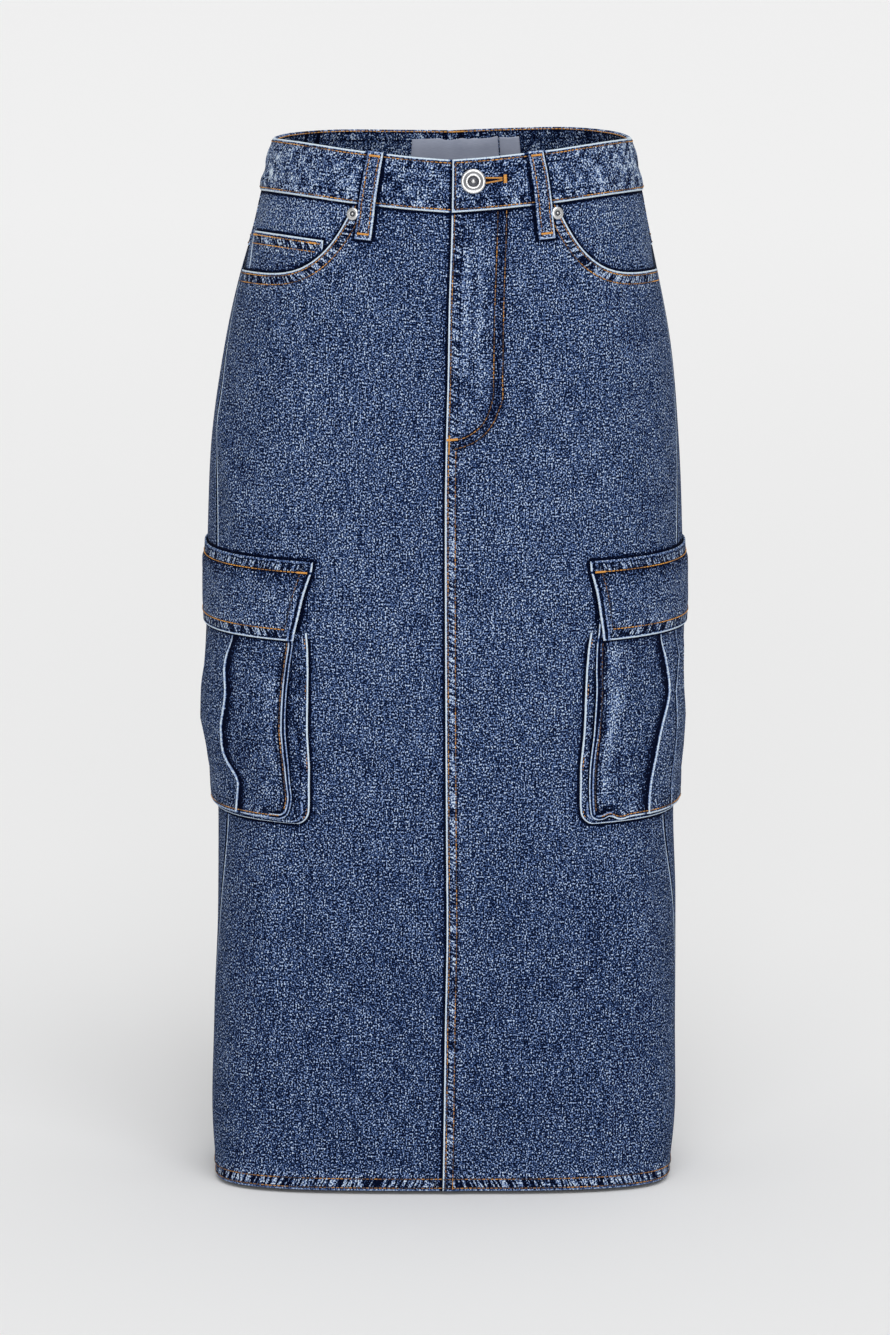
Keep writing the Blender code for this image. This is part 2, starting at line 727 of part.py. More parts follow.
def build_flap(side, word):
    """A cargo pocket's flap, sewn on above the face and lying over its mouth."""
    cloth(
        f"cargo_flap_{word}",
        evenly(-1.0, 1.0, FLAP_STEPS),
        lambda c: [row[0] for row in reversed(FLAP_ROWS)],
        lambda c, r: along_table(FLAP_ROWS, r)[1] + FLAP_THICKNESS,
        lambda c, r: along_table(FLAP_ROWS, r)[1],
        spot=lambda c, r, out: on_pocket(side, c * along_table(FLAP_ROWS, r)[0], r, out),
    )


def pocket_outline(half, bottom, radius):
    """Stations (u, r) down one side of a pocket, along its bottom and up the other."""
    heights = [row[0] for row in FACES[1] if bottom + radius < row[0] <= GUSSET_TOP_Z]
    heights.append(bottom + radius)
    down = [(half, r) for r in heights]
    curve = [
        (half - radius * (1.0 - math.cos(turn)), bottom + radius * (1.0 - math.sin(turn)))
        for turn in evenly(0, math.pi / 2, CORNER_STEPS)[1:]
    ]
    along = [(u, bottom) for u in evenly(half - radius, radius - half, BOTTOM_STEPS)[1:-1]]
    mirrored = [(-u, r) for u, r in reversed(down + curve)]
    return down + curve + along + mirrored


def build_gusset(side, word):
    """The bellows round a cargo pocket: a flange on the skirt and a wall up to the face."""
    half = face_half_width(side) - RISER_INSET
    bottom = FACE_BOTTOM_Z + RISER_INSET
    wall = POCKET_SEWN_WALL
    sewn = pocket_outline(GUSSET_HALF_WIDTH, GUSSET_BOTTOM_Z, GUSSET_RADIUS)
    riser = pocket_outline(half, bottom, RISER_RADIUS)
    riser_back = pocket_outline(half - wall, bottom + wall, RISER_RADIUS - wall)
    low = POCKET_ON_SKIRT
    flange = low + wall
    stations = []
    for (a, b), (c, d), (e, f) in zip(sewn, riser, riser_back):
        top = pocket_row(side, d)["depth"] - wall - POCKET_LAYER_GAP
        middle = ((a + c) / 2.0, (b + d) / 2.0)
        stations.append([
            on_pocket(side, a, b, low), on_pocket(side, a, b, flange),
            on_pocket(side, *middle, flange), on_pocket(side, c, d, flange),
            on_pocket(side, c, d, top), on_pocket(side, e, f, top),
            on_pocket(side, e, f, low), on_pocket(side, *middle, low),
        ])
    shape = bmesh.new()
    rings = [[shape.verts.new(point) for point in station] for station in stations]
    for ring, following in zip(rings, rings[1:]):
        nearer = zip(ring, ring[1:] + ring[:1])
        farther = zip(following[1:] + following[:1], following)
        for (a, b), (c, d) in zip(nearer, farther):
            shape.faces.new((a, b, c, d))
    shape.faces.new(rings[0])
    shape.faces.new(rings[-1])
    add_shape(f"cargo_gusset_{word}", shape, "denim")


# ---- the metal --------------------------------------------------------------


def build_turned(name, profile, turns, v, r, surface):
    """A turned piece whose flat back lies just over the cloth at v and r."""
    mesh = bpy.data.meshes.new(name)
    points = [(x * MILLIMETRE, 0.0, z * MILLIMETRE) for x, z in profile]
    edges = [(start, start + 1) for start in range(len(points) - 1)]
    mesh.from_pydata(points, edges, [])
    piece = add_piece(name, mesh, "steel")
    screw = piece.modifiers.new("turn", "SCREW")
    screw.steps = turns
    screw.render_steps = turns
    screw.use_merge_vertices = True
    screw.merge_threshold = MERGE_WITHIN
    normal = Vector(outward(v, height(v, r)))
    piece.location = Vector(place(v, r, surface + FASTENER_GAP))
    piece.rotation_euler = normal.to_track_quat("Z", "Y").to_euler()
    return piece


def build_metal():
    """The shank button on the band and a rivet at each hip pocket's corner."""
    band = BAND_OUT + band_raise(BUTTON_V)
    build_turned("waist_button", BUTTON_PROFILE, BUTTON_TURNS, BUTTON_V, BUTTON_R, band)
    for side, word in SIDES:
        v = side * (RIVET_V + side * FRONT_SHIFT)
        r = BAND_SEAM_Z - RIVET_DROP
        build_turned(f"rivet_{word}", RIVET_PROFILE, RIVET_TURNS, v, r, 0.0)


def main():
    """Build every piece of the skirt."""
    clear_scene()
    bpy.context.scene.collection.children.link(bpy.data.collections.new(COLLECTION))
    for side, word in SIDES:
        build_panels(side, word)
        build_facing(side, word)
        build_gusset(side, word)
        build_face(side, word)
        build_flap(side, word)
        build_belt_loop(
            f"belt_loop_front_{word}",
            side * FRONT_LOOP_TOP + FRONT_SHIFT,
            side * FRONT_LOOP_BOTTOM + FRONT_SHIFT,
        )
        build_belt_loop(f"belt_loop_back_{word}", side * BACK_LOOP, side * BACK_LOOP)
    build_belt_loop("belt_loop_centre_back", 2.0, 2.0)
    build_coin_pocket()
    build_fly_shield()
    build_waistband()
    build_label("label", LABEL_COLUMNS, LABEL_HEIGHT)
    build_label("size_tab", TAB_COLUMNS, TAB_HEIGHT)
    build_metal()


if __name__ == "__main__":
    main()
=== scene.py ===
"""The looks of a denim cargo midi skirt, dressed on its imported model.

Units are metres, +Z up. The front faces -Y and the wearer's left is +X. The skirt stands
in the hollow form that it takes when it is worn, open at the waist and the hem.

A place on the cloth has two coordinates. v runs round the skirt, from 0 at the centre
front to 1 at the wearer's left side seam and 2 at the centre back, and to -1 and -2 on the
right. r is the height that the place would have at the side seam. Each piece of cloth also
has flat coordinates of its own, as if it lay on the cutting table: a across it and b up it,
where b is r.
"""

from __future__ import annotations

import logging
import math
from dataclasses import dataclass
from enum import Enum
from typing import Callable, Sequence, Union

import bpy
import numpy as np
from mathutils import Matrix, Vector


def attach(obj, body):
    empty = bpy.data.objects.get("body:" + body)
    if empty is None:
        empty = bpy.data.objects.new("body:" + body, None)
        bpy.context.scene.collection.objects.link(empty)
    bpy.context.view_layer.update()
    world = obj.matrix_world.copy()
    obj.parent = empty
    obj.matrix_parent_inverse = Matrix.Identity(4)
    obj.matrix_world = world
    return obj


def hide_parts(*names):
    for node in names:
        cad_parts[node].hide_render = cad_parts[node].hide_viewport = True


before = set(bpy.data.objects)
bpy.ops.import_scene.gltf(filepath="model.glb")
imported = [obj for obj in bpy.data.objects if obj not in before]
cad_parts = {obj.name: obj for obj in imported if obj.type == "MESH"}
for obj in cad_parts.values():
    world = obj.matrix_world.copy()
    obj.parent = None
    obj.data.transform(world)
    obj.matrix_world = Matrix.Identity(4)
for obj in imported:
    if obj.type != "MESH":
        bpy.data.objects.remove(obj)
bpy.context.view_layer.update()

LOG = logging.getLogger("skirt")
Array = np.ndarray
Line = Union[Array, Sequence[Sequence[float]]]
Side = int
LEFT, RIGHT = 1, -1
WORDS = {LEFT: "left", RIGHT: "right"}
BODY = "root"
MIRRORS = ((-1.0, 1.0), (1.0, 1.0))

# ---- sizes that several pieces share ----------------------------------------

BAND_HEIGHT = 0.040
BAND_TOP_Z = 0.0205
BAND_SEAM_Z = BAND_TOP_Z - BAND_HEIGHT
HEM_Z = BAND_TOP_Z - 0.8075
HEM_HEIGHT = 0.013
JOIN = 0.00008
DENIM = 0.0012
LAYER_GAP = 0.00045
BAND_OUT = 0.0016
BAND_IN = 0.0016
FRONT_SHIFT = 0.014
MOUTH_START = 0.400
MOUTH_DROP = 0.0605
MOUTH_ROUNDING = 5.5
FIRST_ROW = 0.0023
SECOND_ROW = 0.0086
HEM_ROWS = (0.0024, 0.0096)
FLY_END_Z = -0.1974
FLY_RAISE, FLY_RAISED_LENGTH = 0.0013, 0.170
CENTRE_RAISE = 0.0008
HEM_OUT, HEM_IN, HEM_STEP = 0.0006, 0.0007, 0.0012
DARKER_Z, DARKER_LENGTH = -0.40, 0.22

SECTIONS = (
    # z, half_width, centre_x, front_y, side_y, back_y, front_n, back_n, seam_right, seam_left
    (0.030, 0.1335, 0.0055, -0.0950, 0.000, 0.0950, 2.25, 2.10, -0.002, -0.002),
    (0.007, 0.1408, 0.0055, -0.0985, 0.000, 0.0970, 2.25, 2.10, -0.003, -0.003),
    (-0.018, 0.1462, 0.0052, -0.1020, 0.000, 0.0995, 2.25, 2.15, -0.004, -0.004),
    (-0.043, 0.1515, 0.0047, -0.1060, 0.001, 0.1040, 2.25, 2.20, -0.006, -0.005),
    (-0.090, 0.1629, 0.0030, -0.1110, 0.004, 0.1150, 2.25, 2.20, -0.011, -0.006),
    (-0.152, 0.1748, 0.0019, -0.1150, 0.009, 0.1270, 2.30, 2.25, -0.019, -0.008),
    (-0.215, 0.1815, 0.0003, -0.1160, 0.014, 0.1320, 2.35, 2.30, -0.028, -0.014),
    (-0.298, 0.1850, 0.0000, -0.1155, 0.016, 0.1290, 2.40, 2.35, -0.036, -0.026),
    (-0.400, 0.1822, 0.0002, -0.1150, 0.013, 0.1230, 2.50, 2.40, -0.038, -0.036),
    (-0.516, 0.1778, 0.0008, -0.1145, 0.006, 0.1170, 2.70, 2.50, -0.047, -0.048),
    (-0.580, 0.1790, 0.0012, -0.1140, -0.006, 0.1140, 2.90, 2.60, -0.042, -0.038),
    (-0.660, 0.1799, -0.0002, -0.1135, -0.016, 0.1100, 3.20, 2.70, -0.034, -0.034),
    (-0.740, 0.1809, -0.0012, -0.1130, -0.023, 0.1070, 3.50, 2.80, -0.033, -0.033),
    (-0.800, 0.1757, -0.0022, -0.1115, -0.026, 0.1040, 3.60, 2.90, -0.032, -0.032),
)
LIFTS = (
    # v, how far the waist stands above its height at the side seams
    (0.00, -0.0054), (0.15, -0.0034), (0.30, -0.0009), (0.42, 0.0008), (0.56, 0.0028),
    (0.70, 0.0036), (0.85, 0.0026), (1.00, 0.0000), (1.25, -0.0004), (1.50, -0.0011),
    (1.75, -0.0034), (2.00, -0.0052),
)
BACK_TILT = 0.0010
LIFT_FULL_Z = -0.020
LIFT_END_Z = -0.240
FOLDS = (
    # v_top, z_top, v_bottom, z_bottom, half_width, height
    (-0.97, -0.200, -0.85, -0.258, 0.014, 0.0022),
    (-0.70, -0.545, -0.66, -0.630, 0.016, 0.0020),
    (0.76, -0.545, 0.72, -0.620, 0.016, 0.0018),
    (-1.30, -0.590, -1.36, -0.760, 0.026, 0.0030),
    (1.28, -0.580, 1.36, -0.750, 0.026, 0.0030),
    (-1.72, -0.330, -1.64, -0.560, 0.030, 0.0026),
    (1.70, -0.350, 1.62, -0.600, 0.030, 0.0026),
)
LOOPS = (
    # name, v at its top, v at its bottom
    ("centre_back", 2.0, 2.0), ("front_left", 0.340, 0.363), ("front_right", -0.312, -0.335),
    ("back_left", 1.38, 1.38), ("back_right", -1.38, -1.38),
)
LOOP_LOW = BAND_SEAM_Z - 0.0262
LOOP_HIGH = BAND_TOP_Z + 0.0006
LOOP_HALF_V = 0.0346
FOLD_END = 0.02
FRONT_GIRTH = 0.20
BACK_GIRTH = 0.28
FAR = 0.05
SHORTEST = 1e-7
CLOSE = np.array((0.0, 0.00012, 0.0003, 0.0006, 0.0011))
USUAL_FROM = 0.0016


# ---- arithmetic on arrays ----------------------------------------------------


def eased(share: Array) -> Array:
    """0 below 0, 1 above 1, and an even rise between."""
    share = np.clip(share, 0.0, 1.0)
    return share * share * (3.0 - 2.0 * share)


def smooth_rows(table: Array, at: Array) -> Array:
    """The rows at several values of a table's rising first column, on a smooth line.

    Args:
        table: rows of numbers, the first column rising.
        at: the values to look up.

    Returns:
        One row for each value.
    """
    keys = table[:, 0]
    slopes = np.gradient(table, keys, axis=0)
    low = np.clip(np.searchsorted(keys, at) - 1, 0, len(keys) - 2)
    step = (keys[low + 1] - keys[low])[..., None]
    t = (at - keys[low])[..., None] / step
    return (
        (2 * t**3 - 3 * t**2 + 1) * table[low]
        + (t**3 - 2 * t**2 + t) * step * slopes[low]
        + (3 * t**2 - 2 * t**3) * table[low + 1]
        + (t**3 - t**2) * step * slopes[low + 1]
    )


def arched(share: Array) -> Array:
    """0 below 0, 1 above 1, and the rise of a quarter circle between."""
    return np.sqrt(1.0 - (1.0 - np.clip(share, 0.0, 1.0)) ** 2)


def bell(at: Array, middle: float, width: float) -> Array:
    """1 at the middle, fading to 0 beyond the width on both sides."""
    return np.exp(-(((at - middle) / width) ** 2))


def lengths_along(points: Array) -> Array:
    """How far each point of a line is from the line's start, along it."""
    return np.concatenate(((0.0,), np.cumsum(np.linalg.norm(np.diff(points, axis=0), axis=1))))


def from_line(points: Array, line: Line) -> tuple[Array, Array]:
    """Distances from flat points to a flat line.

    Args:
        points: flat points, the last axis holding a and b.
        line: the line's corners, one (a, b) a row.

    Returns:
        Each point's distance from the line, and how far along the line that place is.
    """
    line = np.asarray(line, float)
    best = np.full(points.shape[:-1], np.inf)
    run = np.zeros(points.shape[:-1])
    walked = 0.0
    for start, way in zip(line, np.diff(line, axis=0)):
        length = float(np.hypot(*way))
        if length > SHORTEST:
            share = np.clip((points - start) @ way / length**2, 0.0, 1.0)
            gap = np.linalg.norm(points - start - share[..., None] * way, axis=-1)
            nearer = gap < best
            best = np.where(nearer, gap, best)
            run = np.where(nearer, walked + share * length, run)
            walked += length
    return best, run


def looked_up(at: Array, keys: Array, table: Array) -> Array:
    """The rows of a table at values between its rising keys, on straight lines."""
    return np.stack([np.interp(at, keys, column) for column in table.T], axis=-1)


def past_ends(share: Array) -> Array:
    """How far shares are below 0 or above 1."""
    return np.maximum(np.maximum(-share, share - 1.0), 0.0)


def beside(line: Array, distance: float) -> Array:
    """The line that keeps a distance to the right of another as one walks along it."""
    way = np.gradient(line, axis=0)
    way /= np.maximum(np.linalg.norm(way, axis=1, keepdims=True), SHORTEST)
    return line + distance * np.stack((way[:, 1], -way[:, 0]), axis=1)


def graded(length: float, step: float, both: bool = True) -> Array:
    """Shares from 0 to 1 along a length, closely spaced at its ends.

    Args:
        length: the length in metres.
        step: the usual spacing in metres.
        both: False spaces only the start closely.

    Returns:
        Rising shares that begin at 0 and end at 1.
    """
    last = length - (USUAL_FROM if both else 0.0)
    rest = np.linspace(USUAL_FROM, last, max(int(length / step), 3))
    whole = [CLOSE, rest] + ([length - CLOSE[::-1]] if both else [])
    return np.concatenate(whole) / length


def uneven(at: Array, size: float, seed: int) -> Array:
    """Numbers from about -1 to 1 that wander slowly along a length.

    Args:
        at: places along the length, in metres.
        size: the usual distance between a rise and the next, in metres.
        seed: picks one wander from the others.

    Returns:
        One number for each place.
    """
    random = np.random.default_rng(seed % 1009)
    total = np.zeros(np.shape(at))
    for factor in (0.61, 1.0, 1.57):
        phase = random.uniform(0.0, 2.0 * math.pi)
        total += np.sin(at * 2.0 * math.pi * factor / size + phase) / (1.0 + factor)
    return total


# ---- the garment's form -----------------------------------------------------


def wrapped(v: Array) -> Array:
    """The same places, with v from -2 to 2."""
    return (v + 2.0) % 4.0 - 2.0


class Form:
    """The skirt's own surface: level sections lofted from the tables, with their folds."""

    LOW_Z, HIGH_Z, STEP = -0.806, 0.036, 0.001
    SHARES = 200
    NORMAL_STEP_V, NORMAL_STEP_Z = 0.012, 0.003
    QUARTER_POINTS = 240

    def __init__(self) -> None:
        """Loft both halves of every section."""
        self.levels = np.arange(self.LOW_Z, self.HIGH_Z, self.STEP)
        self.sizes = smooth_rows(np.array(SECTIONS[::-1]), self.levels)
        halves = [self._half(side) for side in (RIGHT, LEFT)]
        self.rings = np.array([half[0] for half in halves])
        self.fronts = np.array([half[1] for half in halves])
        self.backs = np.array([half[2] for half in halves])

    def _half(self, side: Side) -> tuple[Array, Array, Array]:
        """One half of every section.

        Args:
            side: LEFT or RIGHT.

        Returns:
            Each level's points at even shares of v, the lengths from the centre front to
            the side seam, and the lengths from there to the centre back.
        """
        turn = np.linspace(0.0, math.pi / 2, self.QUARTER_POINTS)
        sine, cosine = np.clip(np.sin(turn), 0, 1), np.clip(np.cos(turn), 0, 1)
        shares = np.linspace(0.0, 2.0, 2 * self.SHARES + 1)
        rings, fronts, backs = [], [], []
        for row in self.sizes:
            _, half_width, _, front_y, side_y, back_y, front_n, back_n, seam_r, seam_l = row
            front, back = 2.0 / front_n, 2.0 / back_n
            x = half_width * np.concatenate((sine**front, cosine[1:] ** back))
            y = side_y + np.concatenate(
                ((front_y - side_y) * cosine**front, (back_y - side_y) * sine[1:] ** back)
            )
            ring = np.stack((x, y), axis=1)
            arc = lengths_along(ring)
            seam = float(np.interp(seam_l if side == LEFT else seam_r, y, arc))
            along = np.where(shares <= 1, shares * seam, seam + (shares - 1) * (arc[-1] - seam))
            rings.append(looked_up(along, arc, ring))
            fronts.append(seam)
            backs.append(arc[-1] - seam)
        return np.array(rings), np.array(fronts), np.array(backs)

    def front_length(self, side: Side, r: Array | float) -> Array:
        """The length round the cloth from the centre front to one side seam."""
        return np.interp(r, self.levels, self.fronts[int(side == LEFT)])

    def back_length(self, side: Side, r: Array | float) -> Array:
        """The length round the cloth from one side seam to the centre back."""
        return np.interp(r, self.levels, self.backs[int(side == LEFT)])

    def ring(self, v: Array, z: Array) -> Array:
        """The surface's points at v and the real height z, before any fold."""
        v = wrapped(v)
        half = (v >= 0).astype(int)
        across = np.abs(v) * self.SHARES
        column = np.clip(across.astype(int), 0, 2 * self.SHARES - 1)
        up = (z - self.LOW_Z) / self.STEP
        row = np.clip(up.astype(int), 0, len(self.levels) - 2)
        f, g = (across - column)[..., None], (up - row)[..., None]
        point = (1 - g) * (
            (1 - f) * self.rings[half, row, column] + f * self.rings[half, row, column + 1]
        ) + g * (
            (1 - f) * self.rings[half, row + 1, column]
            + f * self.rings[half, row + 1, column + 1]
        )
        x = np.where(half, 1, -1) * point[..., 0] + np.interp(z, self.levels, self.sizes[:, 2])
        return np.stack((x, point[..., 1], z), axis=-1)

    def normal(self, v: Array, z: Array) -> Array:
        """The surface's outward unit normals."""
        dv, dz = self.NORMAL_STEP_V, self.NORMAL_STEP_Z
        around = self.ring(v + dv, z) - self.ring(v - dv, z)
        upward = self.ring(v, z + dz) - self.ring(v, z - dz)
        way = np.cross(around, upward)
        return way / np.linalg.norm(way, axis=-1, keepdims=True)

    def height(self, v: Array, r: Array) -> Array:
        """The real height of a place whose height at the side seam would be r."""
        v = wrapped(v)
        tilt = BACK_TILT * np.sign(v) * np.sin(math.pi * np.maximum(np.abs(v) - 1.0, 0.0))
        lift = smooth_rows(np.array(LIFTS), np.abs(v))[..., 1] + tilt
        return r + lift * eased((r - LIFT_END_Z) / (LIFT_FULL_Z - LIFT_END_Z))

    def fold(self, v: Array, z: Array) -> Array:
        """How far the large folds and the cloth's slight unevenness lift the surface."""
        v = wrapped(v)
        girth = np.where(np.abs(v) < 1, FRONT_GIRTH, BACK_GIRTH)
        rise = np.zeros(np.shape(v))
        for v_top, z_top, v_bottom, z_bottom, half_width, height in FOLDS:
            length = z_top - z_bottom
            share = (z_top - z) / length
            across = (v - v_top - share * (v_bottom - v_top)) * girth / half_width
            beyond = past_ends(share) * length / FOLD_END
            rise += height * np.exp(-(across**2) - beyond**2)
        drape = np.sin(z * 41.0 + 2.1 * np.sin(v * math.pi)) * np.sin(v * 3 * math.pi + z * 17.0)
        return rise + 0.00035 * drape * eased((-0.06 - z) / 0.08)

    def place(self, v: Array, r: Array, out: Array) -> Array:
        """The points that stand a distance out from the form at v and r."""
        z = self.height(v, r)
        return self.ring(v, z) + self.normal(v, z) * (out + self.fold(v, z))[..., None]


FORM = Form()


def mouth_start(side: Side) -> float:
    """Where a hip pocket's mouth leaves the waistband, as a share of the front."""
    return MOUTH_START + side * FRONT_SHIFT


def mouth(share: Array, side: Side) -> Array:
    """The height of a hip pocket's mouth, or of the waist edge in front of it."""
    start = mouth_start(side)
    along = np.clip((np.abs(share) - start) / (1.0 - start), 0.0, 1.0)
    return BAND_SEAM_Z - JOIN - MOUTH_DROP * (1.0 - (1.0 - along) ** MOUTH_ROUNDING)


def loop_outlines(flat: Callable[[Array, Array], Array]) -> list[Array]:
    """The outline of every belt loop on a piece, down one side and up the other.

    Args:
        flat: gives a for places at v and b on the piece.

    Returns:
        One flat line for each loop.
    """
    down = np.linspace(LOOP_HIGH, LOOP_LOW, 8)
    b = np.concatenate((down, down[::-1]))
    offset = np.repeat((-LOOP_HALF_V, LOOP_HALF_V), 8)
    share = (b - LOOP_LOW) / (LOOP_HIGH - LOOP_LOW)
    return [
        np.stack((flat(bottom + share * (top - bottom) + offset, b), b), axis=1)
        for _, top, bottom in LOOPS
    ]


# ---- shaders ----------------------------------------------------------------

Value = Union["Field", float, Sequence[float]]


class Field:
    """What a socket gives over a surface. Arithmetic on it adds Math nodes."""

    def __init__(self, shader: Shader, socket: bpy.types.NodeSocket) -> None:
        """Keep a socket and the shader that it belongs to."""
        self.shader = shader
        self.socket = socket

    def __add__(self, other: Value) -> Field:
        """This plus another."""
        return self.shader.maths("ADD", self, other)

    def __sub__(self, other: Value) -> Field:
        """This less another."""
        return self.shader.maths("SUBTRACT", self, other)

    def __rsub__(self, other: Value) -> Field:
        """Another less this."""
        return self.shader.maths("SUBTRACT", other, self)

    def __mul__(self, other: Value) -> Field:
        """This times another."""
        return self.shader.maths("MULTIPLY", self, other)

    def __abs__(self) -> Field:
        """This without its sign."""
        return self.shader.maths("ABSOLUTE", self)

    __radd__ = __add__
    __rmul__ = __mul__

    def rise(self, low: float, high: float) -> Field:
        """0 where this is below low, 1 above high, and a smooth rise between."""
        sockets = {"Value": self, "From Min": low, "From Max": high}
        settings = {"interpolation_type": "SMOOTHSTEP"}
        return self.shader.node("ShaderNodeMapRange", settings, sockets)

    def fall(self, low: float, high: float) -> Field:
        """1 where this is below low, 0 above high, and a smooth fall between."""
        return 1.0 - self.rise(low, high)

    def near(self, middle: float, half_width: float) -> Field:
        """1 where this is at middle, and 0 from half_width away."""
        return abs(self - middle).fall(0.0, half_width)


class Shader:
    """A material in the making."""

    def __init__(self, name: str) -> None:
        """Start a material with nothing but its surface."""
        self.material = bpy.data.materials.new(name)
        self.material.use_nodes = True
        self.tree = self.material.node_tree
        self.principled = self.tree.nodes["Principled BSDF"]

    def node(
        self,
        kind: str,
        settings: dict[str, object] | None = None,
        sockets: dict[str | int, Value] | None = None,
        output: str | int = 0,
    ) -> Field:
        """Add a node.

        Args:
            kind: the node's type.
            settings: its properties, set first; "stops" are a ramp's places and colours.
            sockets: the numbers, colours or fields of its inputs.
            output: which of its outputs to return.

        Returns:
            The output as a field.
        """
        made = self.tree.nodes.new(kind)
        for name, value in (settings or {}).items():
            if name == "stops":
                self._set_stops(made.color_ramp, value)
            else:
                setattr(made, name, value)
        for name, value in (sockets or {}).items():
            self.feed(made.inputs[name], value)
        return Field(self, made.outputs[output])

    @staticmethod
    def _set_stops(ramp: bpy.types.ColorRamp, stops: Sequence[tuple]) -> None:
        """Give a ramp its stops, each a place and a colour."""
        while len(ramp.elements) < len(stops):
            ramp.elements.new(1.0)
        for element, (place, colour) in zip(ramp.elements, stops):
            element.position = place
            element.color = (*colour, 1.0)

    def feed(self, socket: bpy.types.NodeSocket, value: Value) -> None:
        """Link a field to a socket, or set a number or colour on it."""
        if isinstance(value, Field):
            self.tree.links.new(value.socket, socket)
        elif isinstance(value, (tuple, list)) and socket.type == "RGBA":
            socket.default_value = (*value[:3], 1.0)
        else:
            socket.default_value = value

    def maths(self, operation: str, *values: Value) -> Field:
        """A Math node on up to three values."""
        return self.node("ShaderNodeMath", {"operation": operation}, dict(enumerate(values)))

    def own(self, name: str) -> Field:
        """A number that the mesh carries at each of its points."""
        return self.node("ShaderNodeAttribute", {"attribute_name": name}, output="Fac")

    def cloth_map(self) -> Field:
        """The flat coordinates of the cloth, in metres."""
        return self.node("ShaderNodeUVMap", {"uv_map": "cloth"})

    def place(self) -> Field:
        """The object's own coordinates, in metres."""
        return self.node("ShaderNodeTexCoord", output="Object")

    def together(self, x: Value, y: Value) -> Field:
        """Two numbers as one vector."""
        return self.node("ShaderNodeCombineXYZ", sockets={"X": x, "Y": y})

    def noise(
        self, at: Field, size: tuple[float, float], detail: float = 1.0, bend: float = 0.0
    ) -> Field:
        """Soft noise around 0.5.

        Args:
            at: the coordinates, in metres.
            size: how long its lumps are across and up, in metres.
            detail: how many finer layers it has.
            bend: how much the lumps are twisted.

        Returns:
            The noise.
        """
        scale = (1.0 / size[0], 1.0 / size[1], 1.0)
        at = self.node("ShaderNodeVectorMath", {"operation": "MULTIPLY"}, {0: at, 1: scale})
        sockets = {"Vector": at, "Scale": 1.0, "Detail": detail, "Distortion": bend}
        return self.node("ShaderNodeTexNoise", {}, sockets)

    def shades(self, tone: Field, stops: Sequence[tuple]) -> Field:
        """The colours of a ramp at a tone."""
        return self.node("ShaderNodeValToRGB", {"stops": stops}, {"Fac": tone})

    def mix(self, share: Value, first: Value, second: Value) -> Field:
        """A blend of two colours."""
        sockets = {0: share, 6: first, 7: second}
        return self.node("ShaderNodeMix", {"data_type": "RGBA"}, sockets, output=2)

    def finish(
        self, colour: Value, roughness: Value, metallic: float = 0.0, height: Field | None = None
    ) -> bpy.types.Material:
        """Connect the surface.

        Args:
            colour: the base colour.
            roughness: the roughness.
            metallic: 1 for bare metal.
            height: the height of fine relief, in metres.

        Returns:
            The finished material.
        """
        self.feed(self.principled.inputs["Base Color"], colour)
        self.feed(self.principled.inputs["Roughness"], roughness)
        self.principled.inputs["Metallic"].default_value = metallic
        if height is not None:
            sockets = {"Strength": 1.0, "Distance": 1.0, "Height": height}
            self.feed(self.principled.inputs["Normal"], self.node("ShaderNodeBump", {}, sockets))
        return self.material


